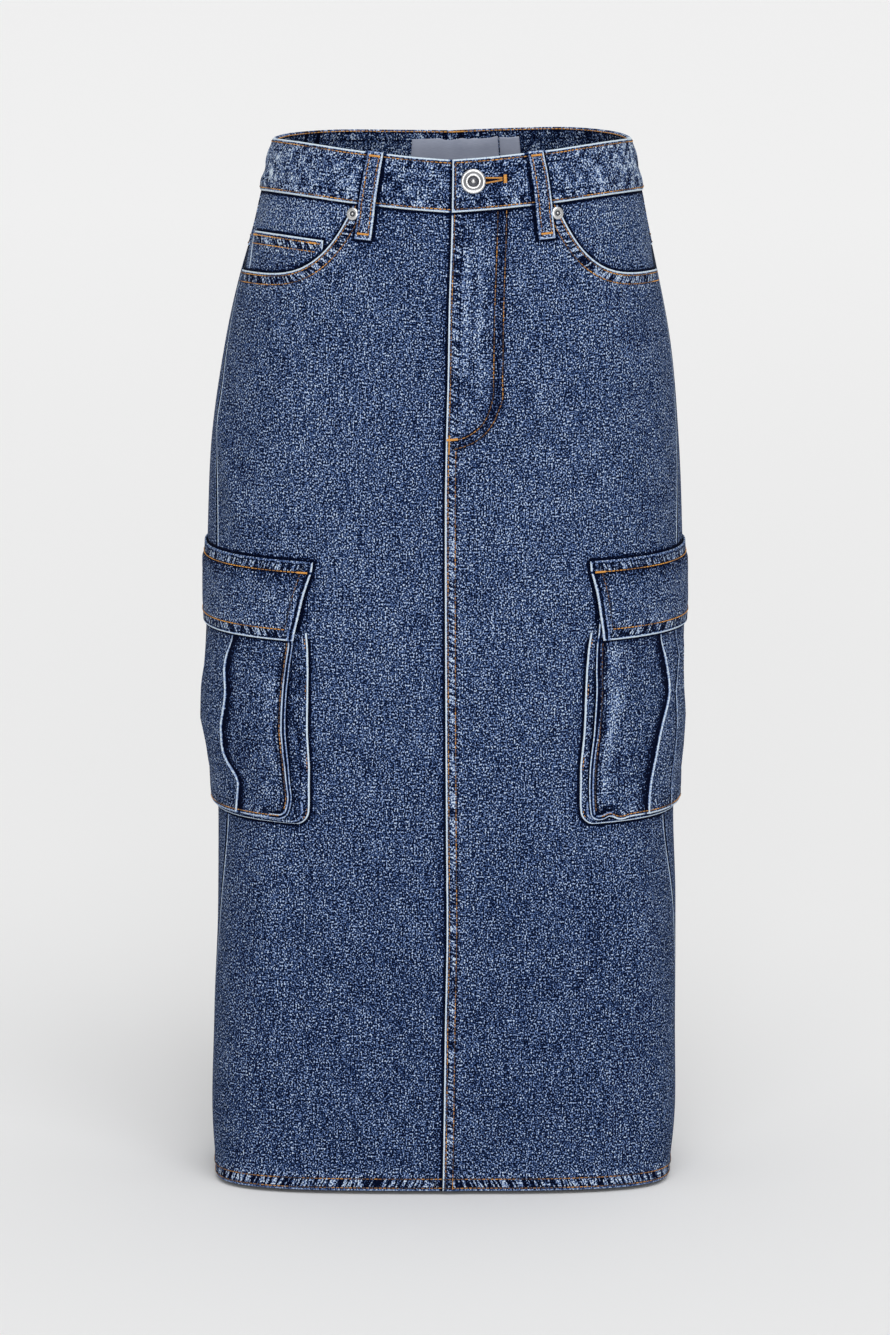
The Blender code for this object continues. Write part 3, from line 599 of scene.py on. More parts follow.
@dataclass(frozen=True)
class Denim:
    """Stonewashed indigo twill, worn pale at its edges and along its puckered seams, with painted
    shadow beside edges that lie over it and in its pressed grooves.
    """

    name: str
    tone: float = 0.12
    contrast: float = 4.7
    slubbed: float = 0.85
    grain: tuple[float, float] = (0.00108, 0.0014)
    slub: tuple[float, float] = (0.0013, 0.022)
    cloud: tuple[float, float] = (0.034, 0.046)
    gloss: float = 0.05

    STOPS = (
        (0.00, (0.0006, 0.0022, 0.0125)),
        (0.10, (0.0036, 0.0105, 0.0400)),
        (0.20, (0.0105, 0.0275, 0.0940)),
        (0.30, (0.0268, 0.0575, 0.1590)),
        (0.39, (0.0485, 0.0915, 0.2190)),
        (0.475, (0.0790, 0.1345, 0.2930)),
        (0.62, (0.1500, 0.2270, 0.4250)),
        (0.79, (0.2860, 0.3780, 0.5780)),
        (1.00, (0.6000, 0.7000, 0.7900)),
    )

    def material(self) -> bpy.types.Material:
        """Build the denim's material."""
        s = Shader(self.name)
        cloth = s.cloth_map()
        looks = ("edge", "run", "worn", "roped", "tuck", "fade", "crumple")
        edge, run, worn, roped, tuck, fade, crumple = (s.own(name) for name in looks)

        grain = s.noise(cloth, self.grain, detail=1.5) - 0.5
        slub = s.noise(cloth, self.slub, detail=1.0) - 0.5
        cloud = s.noise(cloth, self.cloud, detail=2.0) - 0.5
        # The wash's fading, with painted light and shade from some pieces.
        tone = self.tone + grain * self.contrast + slub * self.slubbed + cloud * 0.16 + fade

        creased = s.noise(cloth, (0.012, 0.016), detail=1.5, bend=1.2)
        ridge = abs(creased - 0.5).fall(0.0, 0.040)
        tone = tone + crumple * (ridge * 0.72 + (creased - 0.5) * 1.1)

        slanted = s.together(run + edge * 0.5, edge)
        pucker = s.noise(slanted, (0.0017, 0.012), detail=0.0).rise(0.36, 0.62) - 0.5
        between = edge.rise(0.0014, 0.0032) * edge.fall(0.0076, 0.0094)
        beyond = edge.rise(0.0082, 0.0100) * edge.fall(0.0110, 0.0180)
        rope = roped * pucker * (between * 1.15 + beyond * 0.45)
        pressed = roped.rise(0.02, 0.25)
        # Painted shade in the pressed grooves along the rows of stitches; the same mask also dents
        # the relief.
        groove = edge.near(FIRST_ROW, 0.0012) + edge.near(SECOND_ROW, 0.0012)
        tone = tone + rope + roped * (beyond * 0.06 - between * 0.04) - pressed * groove * 0.30

        ragged = s.noise(s.together(run, edge), (0.0017, 0.0030), detail=1.0)
        rim = edge + (ragged - 0.5) * 0.0007
        white = worn * rim.fall(0.0009, 0.0018) * (0.50 + ragged)
        tone = tone * (1.0 - white) + white * 1.06
        # Painted shadow: near black right beside an edge that lies over this cloth, and a broad
        # faint painted shade further out.
        shadow = tuck.fall(0.0012, 0.0027)
        tone = tone - shadow * 0.75 - tuck.fall(0.0010, 0.0085) * 0.12

        twill = s.node(
            "ShaderNodeTexWave",
            {"wave_type": "BANDS", "bands_direction": "DIAGONAL"},
            {"Vector": cloth, "Scale": 300.0, "Distortion": 0.6, "Detail": 1.0},
            output="Fac",
        )
        height = grain * 0.00020 + twill * 0.00003 + rope * 0.00060 + white * 0.00020
        height = height + crumple * creased * 0.0016 - pressed * groove * 0.00025
        s.principled.inputs["Specular IOR Level"].default_value = self.gloss
        return s.finish(s.shades(tone, self.STOPS), 0.92 - 0.10 * tone, height=height)


@dataclass(frozen=True)
class DenimBack:
    """The wrong side of the twill, where the pale weft shows."""

    name: str = "denim_wrong_side"

    def material(self) -> bpy.types.Material:
        """Build the wrong side's material."""
        s = Shader(self.name)
        cloth = s.cloth_map()
        grain = s.noise(cloth, (0.0012, 0.0010), detail=1.5) - 0.5
        cloud = s.noise(cloth, (0.05, 0.05), detail=2.0) - 0.5
        tone = 0.5 + grain * 2.2 + cloud * 0.5
        stops = (
            (0.0, (0.012, 0.020, 0.042)), (0.5, (0.075, 0.10, 0.155)), (1.0, (0.24, 0.28, 0.35)),
        )
        return s.finish(s.shades(tone, stops), 0.95, height=grain * 0.00025)


@dataclass(frozen=True)
class ThreadFinish:
    """Topstitching thread, from clean orange to thread that the wash has turned dark."""

    name: str = "topstitch_thread"

    def material(self) -> bpy.types.Material:
        """Build the thread's material."""
        s = Shader(self.name)
        tint = s.own("tint")
        place = s.place()
        fibre = s.noise(place, (0.0006, 0.0006), detail=1.0) - 0.5
        stops = (
            (0.00, (0.012, 0.014, 0.024)),
            (0.30, (0.085, 0.048, 0.034)),
            (0.62, (0.360, 0.170, 0.048)),
            (1.00, (0.760, 0.350, 0.060)),
        )
        return s.finish(s.shades(tint + fibre * 0.5, stops), 0.75, height=fibre * 0.0001)


@dataclass(frozen=True)
class Steel:
    """Nickel-plated steel, tumbled in the wash, dark in its grooves."""

    name: str = "tumbled_steel"

    def material(self) -> bpy.types.Material:
        """Build the metal's material."""
        s = Shader(self.name)
        age = s.own("age")
        place = s.place()
        rub = s.noise(place, (0.0010, 0.0010), detail=3.0)
        colour = s.mix(age, (0.66, 0.66, 0.66), (0.045, 0.048, 0.062))
        return s.finish(colour, 0.20 + rub * 0.22 + age * 0.15, 1.0, rub * 0.00004)


@dataclass(frozen=True)
class LabelCloth:
    """A label's close satin weave."""

    name: str = "label_satin"

    def material(self) -> bpy.types.Material:
        """Build the label's material."""
        s = Shader(self.name)
        cloth = s.cloth_map()
        weft = s.noise(cloth, (0.006, 0.0004), detail=1.0) - 0.5
        cloud = s.noise(cloth, (0.03, 0.02), detail=1.0) - 0.5
        colour = s.shades(
            0.5 + weft * 0.5 + cloud * 0.7,
            ((0.0, (0.21, 0.24, 0.33)), (1.0, (0.42, 0.45, 0.56))),
        )
        return s.finish(colour, 0.55, height=weft * 0.00010)


@dataclass(frozen=True)
class PaleFloor:
    """The studio's matt paper, with painted light: paler towards the back, darker near the front.
    """

    name: str = "studio_paper"
    near: float = 0.80
    far: float = 0.93

    def material(self) -> bpy.types.Material:
        """Build the paper's material."""
        s = Shader(self.name)
        place = s.place()
        cloud = s.noise(place, (1.4, 1.4), detail=1.0) - 0.5
        back = s.node("ShaderNodeSeparateXYZ", sockets={"Vector": place}, output="Y")
        # Painted light: the colour rises from near to far, standing in for how the light falls
        # off.
        share = (back + 2.0) * 0.125 + cloud * 0.08
        colour = s.shades(share, ((0.0, (self.near,) * 3), (1.0, (self.far,) * 3)))
        return s.finish(colour, 0.95)


class Finishes:
    """Every finish, built once."""

    def __init__(self) -> None:
        """Build each material."""
        self.denim = Denim("denim").material()
        # A darker copy of the denim: painted shade for insides that show the right side of the
        # cloth.
        self.shaded = Denim("denim_painted_shade", tone=0.06).material()
        self.back = DenimBack().material()
        self.thread = ThreadFinish().material()
        self.steel = Steel().material()
        self.label = LabelCloth().material()
        self.floor = PaleFloor().material()


# ---- cloth --------------------------------------------------------------------


@dataclass
class Seam:
    """A finished edge or a seam, as a line in a piece's flat coordinates.

    Attributes:
        line: its corners, one (a, b) a row.
        worn: how white its very edge is, from 0 to 1.
        roped: how strongly the cloth puckers between its rows of stitches.
        stretch: what distances from it are multiplied by, where its rows lie wider.
    """

    line: Line
    worn: float = 1.0
    roped: float = 0.5
    stretch: float = 1.0


@dataclass
class Crease:
    """A soft ridge or trough, from one flat place to another.

    Attributes:
        start, end: its ends, as (a, b).
        width: how far from its line it fades out.
        rise: how far it stands out, in metres.
        pale: how much the wash has lightened its crest.
    """

    start: tuple[float, float]
    end: tuple[float, float]
    width: float
    rise: float
    pale: float

    def profile(self, points: Array, seed: int) -> Array:
        """1 along the crease's line, fading to its sides and past its ends, unevenly."""
        line = np.array((self.start, self.end))
        way = line[1] - line[0]
        length = float(np.hypot(*way))
        share = (points - line[0]) @ way / length**2
        middle = line[0] + share[..., None] * way
        across = np.linalg.norm(points - middle, axis=-1)
        across = across + uneven(share * length, 0.035, seed) * self.width * 0.35
        beyond = past_ends(share) * length / (self.width * 1.5)
        strength = 0.75 + 0.25 * uneven(share * length, 0.022, seed + 7)
        return strength * np.exp(-((across / self.width) ** 2) - beyond**2)

    def mirrored(self) -> Crease:
        """A similar but fainter crease on the other side of a = 0."""
        (a, b), (c, d) = self.start, self.end
        return Crease((-a, b - 0.006), (-c, d + 0.004), self.width, self.rise, self.pale * 0.8)


def creases(table: Sequence[tuple], side: Side = LEFT) -> list[Crease]:
    """The creases of a table of starts, ends, widths, rises and palenesses."""
    return [Crease((side * a, b), (side * c, d), *rest) for (a, b), (c, d), *rest in table]


class Cloth:
    """One piece of cloth, as a thin closed shell on the form.

    A piece says where its grid lies, how far out its two sides are, where its seams run
    and what overlaps it. The rest is shared here.
    """

    ROUNDING = 0.0009
    THINNEST = 0.12
    GROOVE_STRETCH = 2.2
    LEAST_AREA = 0.31
    INNER_STEP = 4
    THICKNESS = DENIM
    STAND = 0.0
    slot = "denim"
    held = "hung"
    rests_on: tuple[str, ...] = ("waistband",)
    crumple = 0.10
    even_fade = 0.0
    inside_shows_back = True

    def __init__(self, name: str) -> None:
        """Name the piece, with nothing on it yet."""
        self.name = name
        self.seams: list[Seam] = []
        # Lines beside which shadow is painted: edges of what overlaps the piece, and narrower
        # grooves.
        self.tucks: list[Line] = []
        self.grooves: list[Line] = []
        self.creases: list[Crease] = []

    def across(self, a: Array, b: Array) -> Array:
        """The v of flat places."""
        raise NotImplementedError

    def outer(self, a: Array, b: Array) -> Array:
        """How far out the piece's outside is, at flat places."""
        return np.full(np.shape(a), self.STAND)

    def inner(self, a: Array, b: Array) -> Array:
        """How far out the piece's inside is, at flat places."""
        return self.outer(a, b) - self.THICKNESS

    def grid(self) -> tuple[Array, Array]:
        """The flat places of the piece's grid, columns first."""
        raise NotImplementedError

    def fade(self, a: Array, b: Array) -> Array:
        """How much lighter or darker than usual the cloth is: the wash's fading, and on some
        pieces painted light and shade.
        """
        return np.full(np.shape(a), self.even_fade)

    def crumpled(self, a: Array, b: Array) -> Array:
        """How crumpled the cloth's surface is."""
        return np.full(np.shape(a), self.crumple)

    def raised(self, a: Array, b: Array) -> Array:
        """How far the creases lift the cloth at flat places."""
        points = np.stack((a, b), axis=-1)
        total = np.zeros(np.shape(a))
        for seed, crease in enumerate(self.creases):
            total += crease.rise * crease.profile(points, seed)
        return total

    def point(self, a: Array, b: Array, lift: float = 0.0) -> Array:
        """The points that stand a distance over the piece's outside."""
        return FORM.place(self.across(a, b), b, self.outer(a, b) + self.raised(a, b) + lift)

    def normal(self, a: Array, b: Array) -> Array:
        """The outward unit normals at flat places."""
        v = self.across(a, b)
        return FORM.normal(v, FORM.height(v, b))

    def looks(self, a: Array, b: Array) -> dict[str, Array]:
        """The numbers that the denim's material reads at each point."""
        points = np.stack((a, b), axis=-1)
        edge = np.full(np.shape(a), FAR)
        found = {name: np.zeros(np.shape(a)) for name in ("run", "worn", "roped")}
        for number, seam in enumerate(self.seams):
            gap, run = from_line(points, seam.line)
            gap = gap * seam.stretch
            nearer = gap < edge
            edge = np.where(nearer, gap, edge)
            for name, value in zip(found, (run + number, seam.worn, seam.roped)):
                found[name] = np.where(nearer, value, found[name])
        # How far each point is from the nearest line of painted shadow.
        tuck = np.full(np.shape(a), FAR)
        for lines, stretch in ((self.tucks, 1.0), (self.grooves, self.GROOVE_STRETCH)):
            for line in lines:
                tuck = np.minimum(tuck, from_line(points, line)[0] * stretch)
        fade = self.fade(a, b)
        for seed, crease in enumerate(self.creases):
            fade = fade + crease.pale * crease.profile(points, seed)
        found.update(edge=edge, tuck=tuck, fade=fade, crumple=self.crumpled(a, b))
        return found

    def edge_share(self, a: Array, b: Array) -> Array:
        """How far inside the piece's edges places are, in shares of the rounding's width."""
        gaps = [
            np.hypot(a - a[:1], b - b[:1]), np.hypot(a - a[-1:], b - b[-1:]),
            np.hypot(a - a[:, :1], b - b[:, :1]), np.hypot(a - a[:, -1:], b - b[:, -1:]),
        ]
        return np.min(gaps, axis=0) / self.ROUNDING

    def thinned(self, outer: Array, inner: Array, share: Array) -> tuple[Array, Array]:
        """The heights of both sides, drawn together towards the piece's edges."""
        middle = (outer + inner) / 2.0
        kept = self.THINNEST + (1.0 - self.THINNEST) * arched(share)
        return middle + (outer - middle) * kept, middle + (inner - middle) * kept

    def layers(self, a: Array, b: Array) -> tuple[Array, Array]:
        """The points of the piece's outside and inside, over its whole grid."""
        v, raised = self.across(a, b), self.raised(a, b)
        sides = self.outer(a, b) + raised, self.inner(a, b) + raised
        outer, inner = self.thinned(*sides, self.edge_share(a, b))
        return FORM.place(v, b, outer), FORM.place(v, b, inner)

    def flat_size(self, a: Array, b: Array) -> tuple[float, float]:
        """The piece's width and length on the cutting table."""
        return float(np.ptp(a)), float(np.ptp(b))

    def materials(self, finishes: Finishes) -> tuple[bpy.types.Material, bpy.types.Material]:
        """What the piece's outside and inside are made of; an inside that shows the right side of
        the cloth takes the denim's darker copy, painted shade.
        """
        back = finishes.back if self.inside_shows_back else finishes.shaded
        return finishes.denim, back

    def build(self, finishes: Finishes) -> bpy.types.Object:
        """Make the piece, dress it and put it on the model.

        Args:
            finishes: the materials.

        Returns:
            The new object.
        """
        a, b = self.grid()
        outside, inside = self.layers(a, b)
        mesh = shell_mesh(self.name, outside, inside, self.INNER_STEP)
        self._write_looks(mesh, a, b)
        for material in self.materials(finishes):
            mesh.materials.append(material)
        piece = add_object(f"{self.name}_cloth", mesh, self.slot, self.name)
        width, length = self.flat_size(a, b)
        area = min(max(sheet_area(outside), self.LEAST_AREA * width * length), width * length)
        list(self.rests_on)
        return piece

    def sew(self, sewing: Sewing) -> None:
        """Sew the piece's rows and tacks, if it has any."""

    def _write_looks(self, mesh: bpy.types.Mesh, a: Array, b: Array) -> None:
        """Store the flat coordinates and the looks on the mesh."""
        rows, columns = coarse(a.shape, self.INNER_STEP)
        picked = np.ix_(rows, columns)

        def whole(values: Array) -> Array:
            """A value for every vertex: the outside's and then the inside's."""
            return np.concatenate((values.ravel(), values[picked].ravel()))

        for name, values in self.looks(a, b).items():
            store(mesh, name, whole(values))
        corners = np.zeros(len(mesh.loops), np.int32)
        mesh.loops.foreach_get("vertex_index", corners)
        offset = 0.37 * sum(ord(letter) for letter in self.name) % 5.0
        flat = np.stack((whole(a) + offset, whole(b)), axis=1)[corners]
        layer = mesh.uv_layers.new(name="cloth")
        layer.data.foreach_set("uv", flat.astype(np.float32).ravel())


def coarse(shape: tuple[int, int], step: int) -> tuple[Array, Array]:
    """The rows and columns of a grid that its inside keeps."""
    return tuple(
        np.unique(np.append(np.arange(0, count - 1, step), count - 1)) for count in shape
    )


def sheet_area(points: Array) -> float:
    """The area of a grid of points."""
    first = np.cross(points[1:, :-1] - points[:-1, :-1], points[:-1, 1:] - points[:-1, :-1])
    second = np.cross(points[1:, :-1] - points[1:, 1:], points[:-1, 1:] - points[1:, 1:])
    return float((np.linalg.norm(first, axis=-1) + np.linalg.norm(second, axis=-1)).sum() / 2)


def linked(name: str, data: bpy.types.ID) -> bpy.types.Object:
    """A new object in the scene."""
    made = bpy.data.objects.new(name, data)
    bpy.context.scene.collection.objects.link(made)
    return made


def store(mesh: bpy.types.Mesh, name: str, values: Array) -> None:
    """Keep a number for each of a mesh's points."""
    layer = mesh.attributes.new(name, "FLOAT", "POINT")
    layer.data.foreach_set("value", values.astype(np.float32))


def smooth_mesh(name: str, points: Array, faces: Sequence[Sequence[int]]) -> bpy.types.Mesh:
    """A smoothly shaded mesh."""
    mesh = bpy.data.meshes.new(name)
    mesh.from_pydata(points.tolist(), [], faces)
    mesh.polygons.foreach_set("use_smooth", np.ones(len(faces), bool))
    mesh.update()
    return mesh


def quads(*corners: Array) -> Array:
    """Four-sided faces, from grids of the vertex numbers at their corners."""
    return np.stack([corner.ravel() for corner in corners], axis=1)


def rings_joined(rings: int, sides: int) -> Array:
    """The faces between rings of vertices, numbered ring by ring."""
    number = np.arange(rings * sides).reshape(rings, sides)
    following = np.roll(number, -1, axis=1)
    return quads(number[:-1], following[:-1], following[1:], number[1:])


def shell_mesh(name: str, outside: Array, inside: Array, step: int) -> bpy.types.Mesh:
    """A closed thin mesh with a fine outside and a coarser inside.

    Args:
        name: the mesh's name.
        outside, inside: grids of points, of the same rows and columns.
        step: the inside keeps one row and column in this many.

    Returns:
        The mesh, its inside's faces in the second material slot.
    """
    n, m = outside.shape[:2]
    rows, columns = coarse((n, m), step)
    number = np.arange(n * m).reshape(n, m)
    small = n * m + np.arange(len(rows) * len(columns)).reshape(len(rows), len(columns))
    fine, plain = (
        quads(grid[:-1, :-1], grid[1:, :-1], grid[1:, 1:], grid[:-1, 1:])
        for grid in (number, small)
    )
    faces = fine.tolist() + plain[:, ::-1].tolist()
    for fine_grid, coarse_grid, kept, turn in (
        (number, small, rows, 1), (number.T, small.T, columns, -1)
    ):
        for k, (low, high) in enumerate(zip(kept, kept[1:])):
            start, end = fine_grid[low : high + 1, 0], fine_grid[low : high + 1, -1]
            first = [*start[::-1].tolist(), int(coarse_grid[k, 0]), int(coarse_grid[k + 1, 0])]
            last = [*end.tolist(), int(coarse_grid[k + 1, -1]), int(coarse_grid[k, -1])]
            faces += [first[::turn], last[::turn]]
    i, j = n // 2, m // 2
    p, q, t = outside[i, j], outside[i + 1, j], outside[i, j + 1]
    if np.dot(np.cross(q - p, t - p), p - inside[i, j]) < 0:
        faces = [face[::-1] for face in faces]
    points = np.concatenate((outside.reshape(-1, 3), inside[np.ix_(rows, columns)].reshape(-1, 3)))
    mesh = smooth_mesh(name, points, faces)
    slots = np.zeros(len(faces), np.int32)
    slots[len(fine) : len(fine) + len(plain)] = 1
    mesh.polygons.foreach_set("material_index", slots)
    return mesh


def add_object(name: str, mesh: bpy.types.Mesh, slot: str, node: str = "") -> bpy.types.Object:
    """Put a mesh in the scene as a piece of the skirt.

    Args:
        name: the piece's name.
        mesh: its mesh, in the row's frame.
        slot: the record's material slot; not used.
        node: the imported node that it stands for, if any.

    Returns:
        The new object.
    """
    piece = linked(name, mesh)
    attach(piece, BODY)
    if node:
        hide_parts(node)
    LOG.info("%s: %d faces", piece.name, len(mesh.polygons))
    return piece


# ---- sewing -------------------------------------------------------------------


class Thread(Enum):
    """How far the wash has darkened a row of thread: its lowest and highest tint."""

    BRIGHT = (0.72, 1.00)
    ORANGE = (0.50, 1.00)
    AGED = (0.28, 0.90)
    BROWN = (0.18, 0.74)
    DARK = (0.02, 0.45)

    def tints(self, shares: Array) -> Array:
        """The tints at shares of the way from the lowest to the highest."""
        low, high = self.value
        return low + (high - low) * shares


class Sewing:
    """The stitches of one sub-assembly, joined as one mesh."""

    PITCH = 0.0033
    LENGTH = 0.0027
    RADIUS = 0.00042
    SINK = 0.00026
    TACK_PITCH = 0.00042
    STEP = 0.0006
    # How far over the cloth a stitch's middle line lies, as shares of the thread's radius.
    ROW_LIFT, TACK_LIFT = 0.45, 0.9
    # Rings of a stitch: share of its length, share of its radius, share of its sink.
    RINGS = ((-0.5, 0.45, 1.0), (-0.32, 0.95, 0.0), (0.32, 0.95, 0.0), (0.5, 0.45, 1.0))
    SIDES = 6

    def __init__(self, name: str) -> None:
        """Start with no stitches."""
        self.name = name
        self.kept: list[tuple[Array, ...]] = []

    def _add(self, starts: Array, ends: Array, ups: Array, radius: float, tints: Array) -> None:
        """Keep several stitches until the mesh is built."""
        lengths = np.linalg.norm(ends - starts, axis=1, keepdims=True)
        sizes = np.concatenate((lengths, np.full(lengths.shape, radius)), axis=1)
        self.kept.append(((starts + ends) / 2.0, (ends - starts) / lengths, ups, sizes, tints))

    def row(self, cloth: Cloth, line: Line, thread: Thread, seed: int = 0) -> None:
        """Sew a row of stitches along a flat line.

        Args:
            cloth: the piece that is sewn.
            line: the row's corners in the piece's flat coordinates.
            thread: how dark the thread has become.
            seed: picks how the tint wanders.
        """
        dense = self._resampled(line, self.STEP)
        points = cloth.point(*dense.T, self.RADIUS * self.ROW_LIFT)
        walked = lengths_along(points)
        count = int(walked[-1] / self.PITCH)
        if count < 1:
            return
        starts = (np.arange(count) + 0.1) * walked[-1] / count
        ends = starts + self.LENGTH * (1.0 + 0.08 * uneven(starts, 0.01, seed + 3))
        wander = 0.5 + 0.5 * uneven(starts, 0.045, seed) + 0.22 * uneven(starts, 0.007, seed + 1)
        self._add(
            looked_up(starts, walked, points),
            looked_up(ends, walked, points),
            cloth.normal(*looked_up((starts + ends) / 2.0, walked, dense).T),
            self.RADIUS,
            thread.tints(np.clip(wander, 0.0, 1.0)),
        )

    def tack(
        self, cloth: Cloth, line: Line, width: float, thread: Thread = Thread.BRIGHT
    ) -> None:
        """Sew a bar tack: short stitches side by side across a flat line.

        Args:
            cloth: the piece that is sewn.
            line: the tack's middle line, in flat coordinates.
            width: how long its stitches are across that line.
            thread: how dark the thread has become.
        """
        middles = self._resampled(line, self.TACK_PITCH)
        first, second = (
            cloth.point(*beside(middles, reach).T, self.RADIUS * self.TACK_LIFT)
            for reach in (width / 2.0, -width / 2.0)
        )
        shares = 0.5 + 0.5 * np.sin(np.arange(len(middles)) * 2.4)
        self._add(
            first, second, cloth.normal(*middles.T), self.RADIUS * 0.85, thread.tints(shares)
        )

    @staticmethod
    def _resampled(line: Line, step: float) -> Array:
        """A flat line with evenly spaced points."""
        line = np.asarray(line, float)
        walked = lengths_along(line)
        at = np.linspace(0.0, walked[-1], max(int(walked[-1] / step), 2) + 1)
        return looked_up(at, walked, line)

    def build(self, finishes: Finishes) -> bpy.types.Object:
        """Join every stitch in one mesh."""
        middles, ways, ups, sizes, tints = (np.concatenate(part) for part in zip(*self.kept))
        sideways = np.cross(ups, ways)
        sideways /= np.linalg.norm(sideways, axis=1, keepdims=True)
        ups = np.cross(ways, sideways)
        turn = (np.arange(self.SIDES) * 2.0 * math.pi / self.SIDES)[None, :, None]
        around = np.cos(turn) * sideways[:, None] + np.sin(turn) * ups[:, None]
        points = []
        for along, wide, sunk in self.RINGS:
            ring = middles + ways * (along * sizes[:, :1]) - ups * (sunk * self.SINK)
            points.append(ring[:, None] + around * (wide * sizes[:, 1:])[:, None])
        per = len(self.RINGS) * self.SIDES
        starts = np.arange(len(tints))[:, None] * per
        walls = rings_joined(len(self.RINGS), self.SIDES)[None] + starts[:, None]
        faces = walls.reshape(-1, 4).tolist()
        caps = np.arange(self.SIDES)
        for cap in (caps[::-1], per - self.SIDES + caps):
            faces += (cap[None] + starts).tolist()
        mesh = smooth_mesh(self.name, np.stack(points, axis=1).reshape(-1, 3), faces)
        store(mesh, "tint", np.repeat(tints, per))
        mesh.materials.append(finishes.thread)
        return add_object(self.name, mesh, "denim")


# ---- panels -------------------------------------------------------------------


def fly_raise(a: Array, b: Array) -> Array:
    """How far the fly and the centre seam's turned edge stand up on the left front."""
    beside_fly = 1.0 - eased((a - 0.033) / 0.012)
    above = 1.0 - eased((BAND_SEAM_Z - b - FLY_RAISED_LENGTH) / 0.012)
    seam = 1.0 - eased((a - 0.010) / 0.010)
    return np.maximum(FLY_RAISE * beside_fly * above, CENTRE_RAISE * seam)


def hem_out(b: Array) -> Array:
    """How far the turned hem stands out."""
    return HEM_OUT * eased((HEM_Z + HEM_HEIGHT - b) / HEM_STEP + 0.5)


def hem_in(b: Array) -> Array:
    """How far in the turned hem's inner layer stands."""
    return DENIM + HEM_IN * eased((HEM_Z + HEM_HEIGHT - b) / HEM_STEP + 0.5)


class HalfCloth(Cloth):
    """A piece of the left or the right half, whose a is 0 at the centre line."""

    GIRTH, AHEAD, HEM_SEED = FRONT_GIRTH, 1.0, 3

    def __init__(self, name: str, side: Side) -> None:
        """Name the piece after its side."""
        super().__init__(f"{name}_{WORDS[side]}")
        self.side = side

    def length(self, b: Array | float) -> Array:
        """The length round the cloth from the centre line to the side seam."""
        return FORM.front_length(self.side, b)

    def across(self, a: Array, b: Array) -> Array:
        """The v of flat places."""
        return a / self.length(b)

    def along(self, v: Array, b: Array) -> Array:
        """The a of places at v."""
        return v * self.length(b)

    def places(self, share: Array | float, b: Array | float) -> Array:
        """The flat places at shares of the way from the centre line to the side seam."""
        return np.stack((self.side * share * self.length(b), b), axis=-1)

    def apart(self, share: Array) -> Array:
        """The same shares, half a joint away from the neighbours."""
        return JOIN / self.GIRTH + share * (1.0 - 2.0 * JOIN / self.GIRTH)

    def between(
        self, share: Array, low: Array | float, high: Array | float, rows: Array
    ) -> tuple[Array, Array]:
        """The flat places of a grid between two heights.

        Args:
            share: its columns, as shares of the way to the side seam.
            low, high: the heights of its bottom and top, or one for each column.
            rows: its rows, as shares of the way up.

        Returns:
            The grid's a and b.
        """
        b = np.zeros((len(share), 1)) + low + rows[None] * (high - low)
        return self.side * share[:, None] * self.length(b), b

    def under_pocket(self) -> Array:
        """The outline of the cargo pocket that lies on the piece."""
        distance, b = CargoSizes(self.side).shadow_line(self.AHEAD).T
        return np.stack((self.side * (self.length(b) - self.AHEAD * distance), b), axis=1)

    def hem(self) -> Seam:
        """The hem's edge."""
        width = self.side * float(self.length(HEM_Z))
        return Seam(((0.0, HEM_Z), (width, HEM_Z)), 0.45, 1.0, 0.90)

    def sew_hem(self, sewing: Sewing) -> None:
        """Sew the hem's two rows."""
        for number, up in enumerate(HEM_ROWS):
            row = self.places(np.linspace(0.001, 0.999, 40), np.full(40, HEM_Z + up))
            sewing.row(self, row, Thread.BROWN, self.HEM_SEED + number + 10 * self.side)


